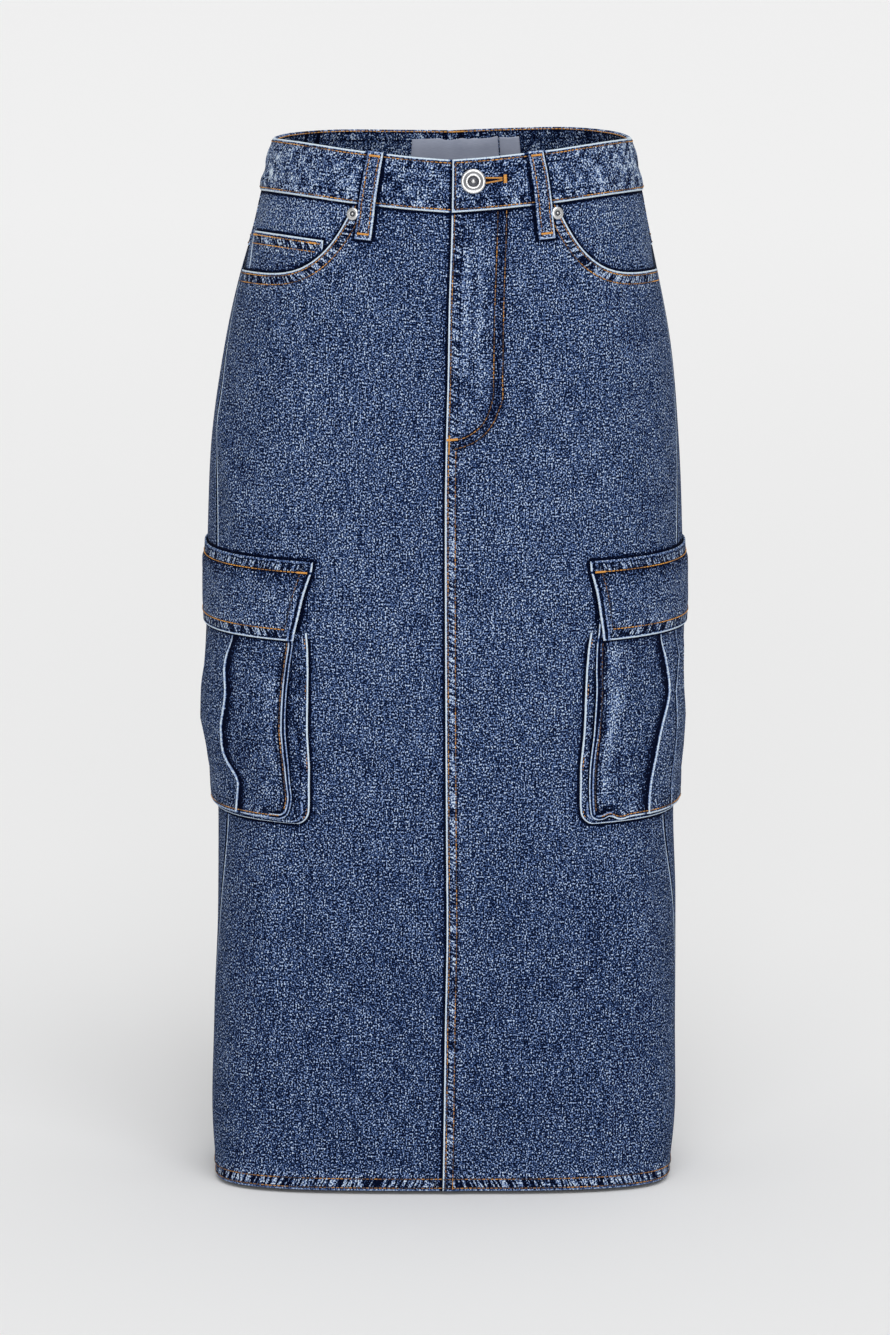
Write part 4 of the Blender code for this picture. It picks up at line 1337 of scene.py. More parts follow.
class Front(HalfCloth):
    """A front panel, with its hip pocket's mouth cut away."""

    COLUMN, ROW = 0.0021, 0.0023
    SPLIT_Z = -0.120
    UPPER_ROWS = 50
    STEEP, SIDE_WIDTH, UPPER_LENGTH = 0.10, 0.115, 0.10
    CENTRE = ((0.0, HEM_Z), (0.0, BAND_SEAM_Z))
    # The fly's J of stitches: (a, b), from the waist down and round to the centre front.
    J_INNER = (
        (0.0350, -0.0205), (0.0350, -0.1500), (0.0354, -0.1618), (0.0342, -0.1690),
        (0.0323, -0.1756), (0.0305, -0.1805), (0.0280, -0.1848), (0.0242, -0.1892),
        (0.0198, -0.1924), (0.0152, -0.1952), (0.0108, -0.1968), (0.0055, -0.1974),
    )
    J_OUTER = (
        (0.0418, -0.0205), (0.0420, -0.1500), (0.0427, -0.1642), (0.0414, -0.1704),
        (0.0392, -0.1757), (0.0371, -0.1818), (0.0342, -0.1868), (0.0304, -0.1922),
        (0.0260, -0.1963), (0.0208, -0.1998), (0.0155, -0.2021), (0.0064, -0.2047),
    )
    CREASES = {
        LEFT: (
            ((0.0135, -0.050), (0.0130, -0.145), 0.0032, 0.0004, 0.22),
            ((0.0225, -0.045), (0.0235, -0.150), 0.0028, 0.0004, 0.18),
            ((0.0178, -0.055), (0.0182, -0.140), 0.0018, -0.0003, -0.24),
            ((0.0290, -0.050), (0.0285, -0.130), 0.0022, -0.0003, -0.16),
            ((0.0100, -0.165), (0.0190, -0.182), 0.0026, 0.0003, 0.20),
            ((0.0060, -0.160), (0.0300, -0.172), 0.0100, 0.0, -0.20),
            ((0.0080, -0.032), (0.0310, -0.034), 0.0100, 0.0, -0.14),
            ((0.0384, -0.025), (0.0384, -0.165), 0.0044, 0.0, -0.10),
            ((0.0056, HEM_Z + 0.012), (0.0058, -0.208), 0.0017, 0.0, 0.34),
        ),
        RIGHT: (
            ((0.150, -0.236), (0.118, -0.290), 0.0110, 0.0, 0.05),
            ((0.142, -0.500), (0.136, -0.600), 0.0120, 0.0, 0.06),
        ),
    }

    def __init__(self, side: Side) -> None:
        """Lay out the panel's seams, overlaps and creases."""
        super().__init__("front", side)
        self.seams, self.tucks = self._seams(), self._tucks()
        if side == LEFT:
            # Painted shade along the fly's two curved rows.
            self.grooves = [self.J_INNER, self.J_OUTER]
        self.creases = creases(self.CREASES[side], side)

    def mouth_line(self) -> Array:
        """The hip pocket's mouth, from the waistband to the side seam."""
        start = mouth_start(self.side)
        share = start + (1.0 - start) * np.linspace(0.0, 1.0, 60) ** 1.6
        return self.places(share, mouth(share, self.side))

    def upright(self, low: float, high: float) -> Array:
        """A line up the side seam."""
        return self.places(1.0, np.linspace(low, high, 24))

    def _seams(self) -> list[Seam]:
        """The panel's edges."""
        own = self.side == LEFT
        fly = (np.array(self.J_INNER) + np.array(self.J_OUTER)) / 2.0
        return ([Seam(fly, 0.0, 0.26, 2.3)] if own else []) + [
            Seam(self.CENTRE, 1.0 if own else 0.0, 0.62 if own else 0.0),
            Seam(self.mouth_line(), 0.95, 0.90),
            self.hem(),
            Seam(self.upright(HEM_Z, BAND_SEAM_Z - MOUTH_DROP), 0.85, 0.0, 0.50),
        ]

    def _tucks(self) -> list[Line]:
        """The lines where something overlaps the panel, beside which shadow is painted."""
        start = self.side * (mouth_start(self.side) * float(self.length(BAND_SEAM_Z)))
        lines = [((0.0, BAND_SEAM_Z), (start, BAND_SEAM_Z))]
        if self.side == RIGHT:
            lines.append(self.CENTRE)
        return [*lines, self.under_pocket(), *loop_outlines(self.along)]

    def outer(self, a: Array, b: Array) -> Array:
        """The panel's outside, with the fly raised and the hem turned."""
        return hem_out(b) + (fly_raise(a, b) if self.side == LEFT else 0.0)

    def inner(self, a: Array, b: Array) -> Array:
        """The panel's inside."""
        return (fly_raise(a, b) if self.side == LEFT else 0.0) - hem_in(b)

    def grid(self) -> tuple[Array, Array]:
        """Columns from the centre front to the side seam, rows from the hem up."""
        start = mouth_start(self.side)
        low = graded(start * self.GIRTH, self.COLUMN, both=False) * start
        steep = np.linspace(start, start + self.STEEP, 27)[1:]
        side = 1.0 - graded(self.SIDE_WIDTH, self.COLUMN, both=False)[::-1]
        high = start + self.STEEP + (1.0 - self.STEEP - start) * side[1:]
        share = self.apart(np.concatenate((low, steep, high)))
        top = mouth(share, self.side)[:, None]
        length = self.SPLIT_Z - HEM_Z
        lower = np.tile(HEM_Z + graded(length, self.ROW, both=False) * length, (len(share), 1))
        rows = 1.0 - graded(self.UPPER_LENGTH, self.UPPER_LENGTH / self.UPPER_ROWS, False)[::-1]
        upper = self.SPLIT_Z + rows[None, 1:] * (top - self.SPLIT_Z)
        b = np.concatenate((lower, upper), axis=1)
        return self.side * share[:, None] * self.length(b), b

    def fade(self, a: Array, b: Array) -> Array:
        """Paler thighs and a darker lower front."""
        thigh = bell(np.abs(a), 0.085, 0.075) * eased((b + 0.62) / 0.30)
        return 0.035 * thigh - 0.045 * eased((DARKER_Z - b) / DARKER_LENGTH)

    def crumpled(self, a: Array, b: Array) -> Array:
        """Most crumpled on the fly."""
        fly = (1.0 - eased((a - 0.030) / 0.008)) * (1.0 - eased((-0.170 - b) / 0.02))
        return super().crumpled(a, b) + (0.30 * fly if self.side == LEFT else 0.0)

    def sew(self, sewing: Sewing) -> None:
        """Sew the panel's rows."""
        line = self.mouth_line()
        for distance, seed in ((FIRST_ROW, 1), (SECOND_ROW, 2)):
            row = beside(line, self.side * distance)
            sewing.row(self, row, Thread.AGED, seed + 10 * self.side)
        self.sew_hem(sewing)
        if self.side == LEFT:
            self._sew_fly(sewing)

    def _sew_fly(self, sewing: Sewing) -> None:
        """Sew the centre front's rows, the fly's two curved rows and its tacks."""
        for a, top, seed in (
            (FIRST_ROW, BAND_SEAM_Z - 0.001, 21), (SECOND_ROW - 0.0008, -0.206, 22)
        ):
            sewing.row(self, ((a, HEM_Z + 0.001), (a, top)), Thread.BROWN, seed)
        sewing.row(self, self.J_INNER, Thread.BROWN, 23)
        sewing.row(self, self.J_OUTER, Thread.BROWN, 24)
        sewing.tack(self, ((0.0008, FLY_END_Z), (0.0088, -0.1967)), 0.0019)
        upright = ((0.0026, FLY_END_Z + 0.0035), (0.0026, -0.2085))
        sewing.tack(self, upright, 0.0012, Thread.ORANGE)


class BackHalf(HalfCloth):
    """A piece of the back, whose a is 0 at the centre back."""

    SIDE_DROP, CENTRE_DROP = 0.042, 0.072
    GIRTH, AHEAD, HEM_SEED = BACK_GIRTH, -1.0, 5
    # How worn and how roped the centre seam is, whose left side laps over the right one.
    CENTRE_WORN = {LEFT: (0.9, 0.25), RIGHT: (0.0, 0.0)}

    def length(self, b: Array | float) -> Array:
        """The length round the cloth from the centre back to the side seam."""
        return FORM.back_length(self.side, b)

    def across(self, a: Array, b: Array) -> Array:
        """The v of flat places."""
        return self.side * 2.0 - a / self.length(b)

    def along(self, v: Array, b: Array) -> Array:
        """The a of places at v."""
        return self.side * (2.0 - self.side * v) * self.length(b)

    def yoke_seam(self, share: Array) -> Array:
        """The height of the seam under the yoke, from the centre back (0) to the side (1)."""
        return BAND_SEAM_Z - self.CENTRE_DROP + share * (self.CENTRE_DROP - self.SIDE_DROP)

    def yoke_line(self) -> Array:
        """The seam under the yoke, from the centre back to the side seam."""
        share = np.linspace(0.0, 1.0, 20)
        return self.places(share, self.yoke_seam(share))


class Back(BackHalf):
    """A back panel below the yoke."""

    CENTRE_TOP_Z = -0.09
    CREASES = (
        ((0.075, -0.30), (0.125, -0.42), 0.016, 0.0009, 0.07),
        ((0.050, -0.52), (0.060, -0.66), 0.014, 0.0007, 0.05),
        ((0.190, -0.60), (0.172, -0.74), 0.012, 0.0006, 0.05),
        ((0.130, -0.190), (0.060, -0.235), 0.013, 0.0007, 0.06),
    )

    def __init__(self, side: Side) -> None:
        """Lay out the panel's seams, overlaps and creases."""
        super().__init__("back", side)
        self.rests_on = (f"yoke_{WORDS[side]}",)
        far = self.places(1.0, np.linspace(HEM_Z, BAND_SEAM_Z - self.SIDE_DROP, 24))
        centre = ((0.0, HEM_Z), (0.0, self.CENTRE_TOP_Z))
        self.seams = [
            Seam(centre, *self.CENTRE_WORN[side]), self.hem(),
            Seam(far + (side * -0.0040, 0.0), 0.50, 0.0, 1.6),
        ]
        # Painted shadow beside the yoke, the pocket, the side seam, the belt loops and the lapped
        # centre seam.
        self.tucks = [self.yoke_line(), self.under_pocket(), far, *loop_outlines(self.along)]
        if side == RIGHT:
            self.tucks.append(centre)
        self.creases = creases(self.CREASES, side)

    def outer(self, a: Array, b: Array) -> Array:
        """The panel's outside, with the hem turned and the centre seam a little raised."""
        return hem_out(b) + 0.0004 * (1.0 - eased((np.abs(a) - 0.009) / 0.004))

    def inner(self, a: Array, b: Array) -> Array:
        """The panel's inside."""
        return -hem_in(b)

    def grid(self) -> tuple[Array, Array]:
        """Columns from the centre back to the side seam, rows from the hem up."""
        share = self.apart(graded(BACK_GIRTH, 0.0028))
        top = self.yoke_seam(share)[:, None] - JOIN
        return self.between(share, HEM_Z, top, graded(0.70, 0.0028))

    def fade(self, a: Array, b: Array) -> Array:
        """A paler seat and a darker lower back."""
        seat = bell(np.abs(a), 0.10, 0.08) * bell(b, -0.20, 0.12)
        return 0.09 * seat - 0.04 * eased((DARKER_Z - b) / DARKER_LENGTH)

    def sew(self, sewing: Sewing) -> None:
        """Sew the hem and the centre back seam."""
        self.sew_hem(sewing)
        if self.side == LEFT:
            low, high = HEM_Z + 0.001, BAND_SEAM_Z - self.CENTRE_DROP - 0.001
            for distance, seed in ((FIRST_ROW, 31), (SECOND_ROW, 32)):
                sewing.row(self, ((distance, low), (distance, high)), Thread.AGED, seed)


class Yoke(BackHalf):
    """One half of the pointed back yoke, which laps a little over the panel."""

    STAND = 0.0004
    THICKNESS = STAND + DENIM
    CREASES = (((0.19, -0.03), (0.14, -0.055), 0.008, 0.0003, 0.07),)
    even_fade = 0.02

    def __init__(self, side: Side) -> None:
        """Lay out the yoke's seams, overlaps and crease."""
        super().__init__("yoke", side)
        centre = ((0.0, BAND_SEAM_Z - self.CENTRE_DROP), (0.0, BAND_SEAM_Z))
        self.seams = [Seam(self.yoke_line(), 0.9, 0.5), Seam(centre, *self.CENTRE_WORN[side])]
        width = side * float(self.length(BAND_SEAM_Z))
        # Painted shadow under the waistband, beside the belt loops and the lapped centre seam.
        self.tucks = [((0.0, BAND_SEAM_Z), (width, BAND_SEAM_Z)), *loop_outlines(self.along)]
        if side == RIGHT:
            self.tucks.append(centre)
        self.creases = creases(self.CREASES, side)

    def grid(self) -> tuple[Array, Array]:
        """Columns from the centre back to the side seam, rows up to the waistband."""
        share = self.apart(graded(BACK_GIRTH, 0.0022))
        low = self.yoke_seam(share)[:, None] + JOIN
        return self.between(share, low, BAND_SEAM_Z - JOIN, graded(0.055, 0.0022))

    def sew(self, sewing: Sewing) -> None:
        """Sew the two rows over the yoke's seam, and those of the centre back."""
        line, low = self.yoke_line(), BAND_SEAM_Z - self.CENTRE_DROP + 0.002
        for distance, seed in ((FIRST_ROW, 33), (SECOND_ROW, 34)):
            sewing.row(self, beside(line, -self.side * distance), Thread.AGED, seed)
            if self.side == LEFT:
                row = ((distance, low), (distance, BAND_SEAM_Z - 0.001))
                sewing.row(self, row, Thread.AGED, seed + 5)


# ---- hip pockets ----------------------------------------------------------------


class Facing(HalfCloth):
    """The denim behind a hip pocket's mouth."""

    START, UNDERLAP = 0.35, 0.016
    RISE, RISE_START, RISE_LENGTH = 0.0014, 0.004, 0.022
    # Painted light: how much paler each facing is, the right one more, as the light falls.
    PAINTED_LIGHT = {LEFT: 0.065, RIGHT: 0.16}
    crumple = 0.12

    def __init__(self, side: Side) -> None:
        """Lay out what lies over the facing."""
        super().__init__("pocket_facing", side)
        self.even_fade = self.PAINTED_LIGHT[side]
        front = Front(side)
        width = side * float(self.length(BAND_SEAM_Z))
        self.seams = [Seam(front.upright(-0.10, BAND_SEAM_Z), 0.2, 0.0)]
        # Painted shadow under the mouth's edge, the waistband and the coin pocket.
        self.tucks = [front.mouth_line(), ((side * 0.05, BAND_SEAM_Z), (width, BAND_SEAM_Z))]
        if side == RIGHT:
            low, high, top = CoinPocket.LOW, CoinPocket.HIGH, CoinPocket.TOP_Z
            corners = ((low, -0.08), (low, top), (high, top), (high, -0.09))
            self.tucks.append([self.places(*corner) for corner in corners])

    def outer(self, a: Array, b: Array) -> Array:
        """The facing's outside, a little behind the mouth's edge."""
        above = b - mouth(self.across(a, b), self.side) - self.RISE_START
        return self.RISE * eased(above / self.RISE_LENGTH) - DENIM - LAYER_GAP

    def grid(self) -> tuple[Array, Array]:
        """Columns to the side seam, rows from under the mouth to the waistband."""
        share = self.START + (1.0 - self.START - JOIN / FRONT_GIRTH) * graded(0.13, 0.0018)
        low = mouth(share, self.side)[:, None] - self.UNDERLAP
        return self.between(share, low, BAND_SEAM_Z - JOIN, graded(0.07, 0.0020))


class CoinPocket(Facing):
    """The small patch pocket on the right facing."""

    LOW, HIGH, TOP_Z, CLEARANCE = 0.496, 0.907, -0.050, 0.0008
    # Each row's distance from the top edge, how far short of the patch's low side it ends, and
    # its seed.
    ROWS = ((0.0030, 0.008, 41), (0.0094, 0.028, 42))
    crumple = 0.25

    def __init__(self) -> None:
        """Lay out the patch's edges."""
        super().__init__(RIGHT)
        self.name = "coin_pocket"
        self.rests_on = ("pocket_facing_right",)
        self.even_fade = 0.0
        near, far = (self.places(share, self.TOP_Z) for share in (self.LOW, self.HIGH))
        self.seams = [
            Seam((near, far), 0.95, 1.0),
            Seam((far, (far[0], -0.09)), 0.9, 0.0),
            Seam((near, (near[0], -0.07)), 1.0, 0.0),
        ]
        # Painted shadow only under the mouth's edge.
        self.tucks = self.tucks[:1]

    def outer(self, a: Array, b: Array) -> Array:
        """The patch's outside, on the facing."""
        return super().outer(a, b) + LAYER_GAP + DENIM

    def grid(self) -> tuple[Array, Array]:
        """Columns between the patch's sides, rows from the mouth to its top edge."""
        share = self.LOW + (self.HIGH - self.LOW) * graded(0.083, 0.0015)
        low = mouth(share, RIGHT)[:, None] + self.CLEARANCE
        return self.between(share, low, self.TOP_Z, graded(0.03, 0.0011))

    def sew(self, sewing: Sewing) -> None:
        """Sew the patch's two rows and the tacks at its corners."""
        for distance, short, seed in self.ROWS:
            b = self.TOP_Z - distance
            row = (self.places(self.HIGH - 0.008, b), self.places(self.LOW + short, b))
            sewing.row(self, row, Thread.ORANGE, seed)
        b = self.TOP_Z - self.ROWS[0][0]
        for share in (self.HIGH - 0.022, self.LOW + 0.040):
            line = (self.places(share - 0.014, b), self.places(share + 0.016, b))
            sewing.tack(self, line, 0.0014)


class FlyShield(HalfCloth):
    """The strip behind the fly."""

    LENGTH, RIGHT_END, LEFT_END = 0.175, -0.03, 0.185
    STAND = -DENIM - LAYER_GAP
    slot = "denim_inside"

    def __init__(self) -> None:
        """Put the strip behind the left front."""
        super().__init__("fly_shield", LEFT)
        self.name = "fly_shield"

    def grid(self) -> tuple[Array, Array]:
        """Columns across the fly, rows up to the waistband."""
        share = self.RIGHT_END + (self.LEFT_END - self.RIGHT_END) * graded(0.043, 0.003)
        low = BAND_SEAM_Z - self.LENGTH
        return self.between(share, low, BAND_SEAM_Z - JOIN, graded(self.LENGTH, 0.004))


# ---- the waist ------------------------------------------------------------------


class Waistband(Cloth):
    """One folded strip round the waist, whose left end laps over its right end."""

    LAP_RAISE = BAND_OUT + BAND_IN + 0.0003
    LAP_WIDTH, LAP_FADE = 0.0375, 0.021
    UNDER_END = 4.185
    HOLE_START, HOLE_END, HOLE_B = 0.0170, 0.0405, 0.0030
    crumple = 0.40
    held = "folded"
    rests_on = ()
    inside_shows_back = False

    def __init__(self) -> None:
        """Measure the strip and lay out its edges and wrinkles."""
        super().__init__("waistband")
        lengths = [
            FORM.front_length(LEFT, 0.0), FORM.back_length(LEFT, 0.0),
            FORM.back_length(RIGHT, 0.0), FORM.front_length(RIGHT, 0.0),
        ]
        walked = np.concatenate(((0.0,), np.cumsum(lengths)))
        end = walked[-1] + lengths[0] * (self.UNDER_END - 4.0)
        self.knots_a = np.append(walked, end)
        self.knots_v = np.array((0.0, 1.0, 2.0, 3.0, 4.0, self.UNDER_END))
        self.once = float(walked[-1])
        near, far = self.knots_a[1] + 0.012, self.knots_a[3] - 0.012
        self.seams = [
            Seam(((low, BAND_TOP_Z), (high, BAND_TOP_Z)), worn, 0.35)
            for low, high, worn in ((0.0, near, 1.0), (near, far, 0.25), (far, end, 1.0))
        ]
        self.seams += [
            Seam(((0.0, BAND_SEAM_Z), (end, BAND_SEAM_Z)), 1.0, 0.35),
            Seam(((0.0, BAND_SEAM_Z), (0.0, BAND_TOP_Z)), 1.0, 0.3),
        ]
        # Painted shadow beside the lapping end, in the buttonhole and beside the belt loops.
        self.tucks = [
            ((self.once, BAND_SEAM_Z), (self.once, BAND_TOP_Z)),
            ((self.HOLE_START, self.HOLE_B), (self.HOLE_END, self.HOLE_B)),
            *loop_outlines(self.along),
        ]
        self.creases = self._creases()

    def _creases(self) -> list[Crease]:
        """Soft diagonal wrinkles, most of them near the side seams and beside the button."""
        random = np.random.default_rng(11)
        left_seam, right_seam, once = self.knots_a[1], self.knots_a[3], self.once
        middles = (
            # middle, spread, count, strength
            (left_seam - 0.024, 0.034, 16, 1.6), (right_seam + 0.024, 0.034, 16, 1.6),
            (0.05, 0.02, 4, 1.0), (once - 0.045, 0.03, 6, 1.2), (once / 2, 0.12, 12, 1.0),
        )
        made = []
        for middle, spread, count, strength in middles:
            for _ in range(count):
                a = middle + random.uniform(-spread, spread)
                b = random.uniform(BAND_SEAM_Z + 0.008, BAND_TOP_Z - 0.008)
                end = a + random.uniform(-0.016, 0.016), b + random.uniform(-0.004, 0.010)
                pale = strength * random.choice((-0.18, 0.20, 0.34))
                width = random.uniform(0.0018, 0.0030)
                made.append(Crease((a, b), end, width, math.copysign(0.0003, pale), pale))
        for seam, ahead in ((left_seam, -1.0), (right_seam, 1.0)):
            for b, rise in ((-0.0120, 0.0011), (-0.0020, -0.0007), (0.0090, 0.0008)):
                start, end = (seam + ahead * 0.014, b + 0.003), (seam - ahead * 0.008, b - 0.002)
                made.append(Crease(start, end, 0.0042, rise, rise * 120.0))
        return made

    def across(self, a: Array, b: Array) -> Array:
        """The v of flat places, where a is 0 at the lapping end."""
        return np.interp(a, self.knots_a, self.knots_v)

    def along(self, v: Array, b: Array) -> Array:
        """The a of places at v."""
        return np.interp(v % 4.0, self.knots_v, self.knots_a)

    def band_raise(self, a: Array) -> Array:
        """How far the band's outer end stands over its under end."""
        return self.LAP_RAISE * (1.0 - eased((a - self.LAP_WIDTH) / self.LAP_FADE))

    def outer(self, a: Array, b: Array) -> Array:
        """The band's outside."""
        return BAND_OUT + self.band_raise(a)

    def inner(self, a: Array, b: Array) -> Array:
        """The band's inside."""
        return self.band_raise(a) - BAND_IN

    def grid(self) -> tuple[Array, Array]:
        """Columns once round and under the lap, rows from the waist seam up."""
        length = self.knots_a[-1]
        a = JOIN + graded(length, 0.0017) * (length - JOIN)
        b = BAND_SEAM_Z + graded(BAND_HEIGHT, 0.0016) * BAND_HEIGHT
        return np.meshgrid(a, b, indexing="ij")

    def crumpled(self, a: Array, b: Array) -> Array:
        """Most crumpled in front of the side seams."""
        left, right = self.knots_a[1] - 0.02, self.knots_a[3] + 0.02
        return self.crumple + 0.60 * np.maximum(bell(a, left, 0.045), bell(a, right, 0.045))

    def fade(self, a: Array, b: Array) -> Array:
        """Painted shade round the button, and uneven wash patches."""
        # Painted shade round the button.
        lap = bell(a, 0.026, 0.018)
        patches = uneven(a + 0.8 * b, 0.016, 31) + uneven(a - 1.2 * b, 0.011, 37)
        return 0.05 - 0.13 * lap + 0.11 * patches

    def sew(self, sewing: Sewing) -> None:
        """Sew the band's rows, its buttonhole and the thread inside its back."""
        inset = FIRST_ROW + 0.0004
        low, high = BAND_SEAM_Z + FIRST_ROW, BAND_TOP_Z - inset
        for b, seed in ((high, 51), (low, 52)):
            sewing.row(self, ((inset, b), (self.once - 0.0006, b)), Thread.AGED, seed)
        sewing.row(self, ((inset, low), (inset, high)), Thread.DARK, 53)
        self._sew_inside(sewing)
        self._sew_hole(sewing)

    def _sew_hole(self, sewing: Sewing) -> None:
        """Sew round the buttonhole."""
        near, far, middle = self.HOLE_START + 0.004, self.HOLE_END - 0.003, self.HOLE_B
        for up in (-1.0, 1.0):
            b = middle - up * 0.0003
            line = ((near, b + up * 0.0026), (far, b + up * 0.0011))
            sewing.tack(self, line, 0.0013, Thread.ORANGE)
        end = self.HOLE_END - 0.0006
        sewing.tack(self, ((end, middle - 0.0030), (end, middle + 0.0028)), 0.0026)

    def _sew_inside(self, sewing: Sewing) -> None:
        """Sew the row that shows along the top of the band's inside, with its knot."""
        inside, b = BandInside(self), BAND_TOP_Z - 0.0010
        low, high = self.knots_a[1] - 0.03, self.knots_a[3] + 0.03
        sewing.row(inside, ((low, b), (high, b)), Thread.BRIGHT, 54)
        middle = self.knots_a[2] - 0.004
        sewing.tack(inside, ((middle - 0.006, b), (middle + 0.006, b)), 0.0012)


class BandInside(Cloth):
    """The waistband's inner face, for what is sewn on it."""

    def __init__(self, band: Waistband) -> None:
        """Keep the band that this is the inside of."""
        super().__init__("band_inside")
        self.band = band

    def across(self, a: Array, b: Array) -> Array:
        """The v of flat places."""
        return self.band.across(a, b)

    def outer(self, a: Array, b: Array) -> Array:
        """The inner face, so that what lies on it stands inward."""
        return self.band.inner(a, b) - 0.0003

    def normal(self, a: Array, b: Array) -> Array:
        """The unit normals that point into the skirt."""
        return -super().normal(a, b)


class BeltLoop(Cloth):
    """A belt loop, from just over the band down to the cloth below it."""

    WIDTH, THICKNESS, CROWN = 0.0127, 0.0020, 0.0003
    # How much narrower than the band's v the loop's v is, as it stands out from the form.
    NARROWER = 0.985
    LIFTS = (
        # share of its height, how far its back stands off what it lies on
        (0.00, 0.0000), (0.08, 0.0001), (0.20, 0.0007), (0.34, 0.0013), (0.46, 0.0016),
        (0.62, 0.0017), (0.78, 0.0011), (0.92, 0.0001), (1.00, 0.0000),
    )
    crumple = 0.30
    inside_shows_back = False
    held = "stretched"

    def __init__(self, name: str, top_v: float, bottom_v: float, band: Waistband) -> None:
        """Lay out the loop between its two ends."""
        super().__init__(name)
        self.top_v, self.bottom_v, self.band = top_v, bottom_v, band
        self.high = LOOP_HIGH - (0.0018 if abs(top_v) > 1.0 else 0.0)
        half = self.WIDTH / 2.0
        low_near, low_far = (half, LOOP_LOW), (-half, LOOP_LOW)
        high_near, high_far = (half, self.high), (-half, self.high)
        self.seams = [
            Seam((low_near, high_near), 0.85, 0.12), Seam((low_far, high_far), 0.35, 0.12),
            Seam((low_far, low_near), 0.70, 0.0), Seam((high_far, high_near), 0.5, 0.0),
        ]

    def share(self, b: Array) -> Array:
        """How far up the loop heights are, from 0 to 1."""
        return (b - LOOP_LOW) / (self.high - LOOP_LOW)

    def across(self, a: Array, b: Array) -> Array:
        """The v of flat places, where a is 0 along the loop's middle."""
        middle = self.bottom_v + self.share(b) * (self.top_v - self.bottom_v)
        return middle + a * 4.0 / self.band.once * self.NARROWER

    def inner(self, a: Array, b: Array) -> Array:
        """The loop's back, which stands off what it lies on."""
        lifts = smooth_rows(np.array(self.LIFTS), np.clip(self.share(b), 0.0, 1.0))[..., 1]
        over = eased((b - BAND_SEAM_Z + 0.007) / 0.007)
        top_a = self.band.along(np.array(self.top_v), b)
        band = BAND_OUT + float(self.band.band_raise(top_a))
        return LAYER_GAP + band * over + np.maximum(lifts, 0.0)

    def outer(self, a: Array, b: Array) -> Array:
        """The loop's outside, a little crowned."""
        crown = self.CROWN * (1.0 - (2.0 * a / self.WIDTH) ** 2)
        return self.inner(a, b) + self.THICKNESS + crown

    def grid(self) -> tuple[Array, Array]:
        """Columns across the strip, rows up it."""
        a = (graded(self.WIDTH, 0.0012) - 0.5) * self.WIDTH
        length = self.high - LOOP_LOW
        b = LOOP_LOW + graded(length, 0.0012) * length
        return np.meshgrid(a, b, indexing="ij")

    def fade(self, a: Array, b: Array) -> Array:
        """Pale along the loop's middle, which stands out most."""
        return 0.10 - 0.05 * np.abs(2.0 * a / self.WIDTH)

    def sew(self, sewing: Sewing) -> None:
        """Sew the loop's two rows and its tacks."""
        half = self.WIDTH / 2.0
        for a, seed in ((half - 0.0026, 61), (0.0026 - half, 62)):
            row = ((a, LOOP_LOW + 0.0015), (a, self.high - 0.002))
            sewing.row(self, row, Thread.AGED, seed)
        for b in (LOOP_LOW + 0.0042, self.high - 0.0034):
            sewing.tack(self, ((0.0022 - half, b), (half - 0.0022, b)), 0.0016)


class BandLabel(Cloth):
    """A bare label on the inside of the waistband's back."""

    slot = "label_cloth"
    DROP, THICKNESS, GAP, BOW, STEP = 0.0065, 0.0006, 0.0009, 0.0008, 0.003
    crumple = 0.0

    def __init__(self, name: str, low_v: float, high_v: float, tall: float) -> None:
        """Keep the label's ends, given as v, and its height."""
        super().__init__(name)
        self.low, self.high = ((v - 2.0) * BACK_GIRTH for v in (low_v, high_v))
        self.tall = tall

    def materials(self, finishes: Finishes) -> tuple[bpy.types.Material, bpy.types.Material]:
        """What the label's back and face are made of."""
        return finishes.label, finishes.label

    def across(self, a: Array, b: Array) -> Array:
        """The v of flat places, where a is 0 at the centre back."""
        return 2.0 + a / BACK_GIRTH

    def outer(self, a: Array, b: Array) -> Array:
        """The label's back, against the band, which bows away a little between its ends."""
        bow = 1.0 - ((2.0 * a - self.low - self.high) / (self.high - self.low)) ** 2
        return -BAND_IN - self.GAP - self.BOW * bow

    def grid(self) -> tuple[Array, Array]:
        """Columns round the band, rows up it."""
        width = self.high - self.low
        a = self.low + graded(width, self.STEP) * width
        top = BAND_TOP_Z - self.DROP + 0.0007 * uneven(a, 0.021, 23)[:, None]
        b = top - self.tall + graded(self.tall, self.STEP)[None] * self.tall
        return np.tile(a[:, None], (1, b.shape[1])), b


# ---- cargo pockets --------------------------------------------------------------


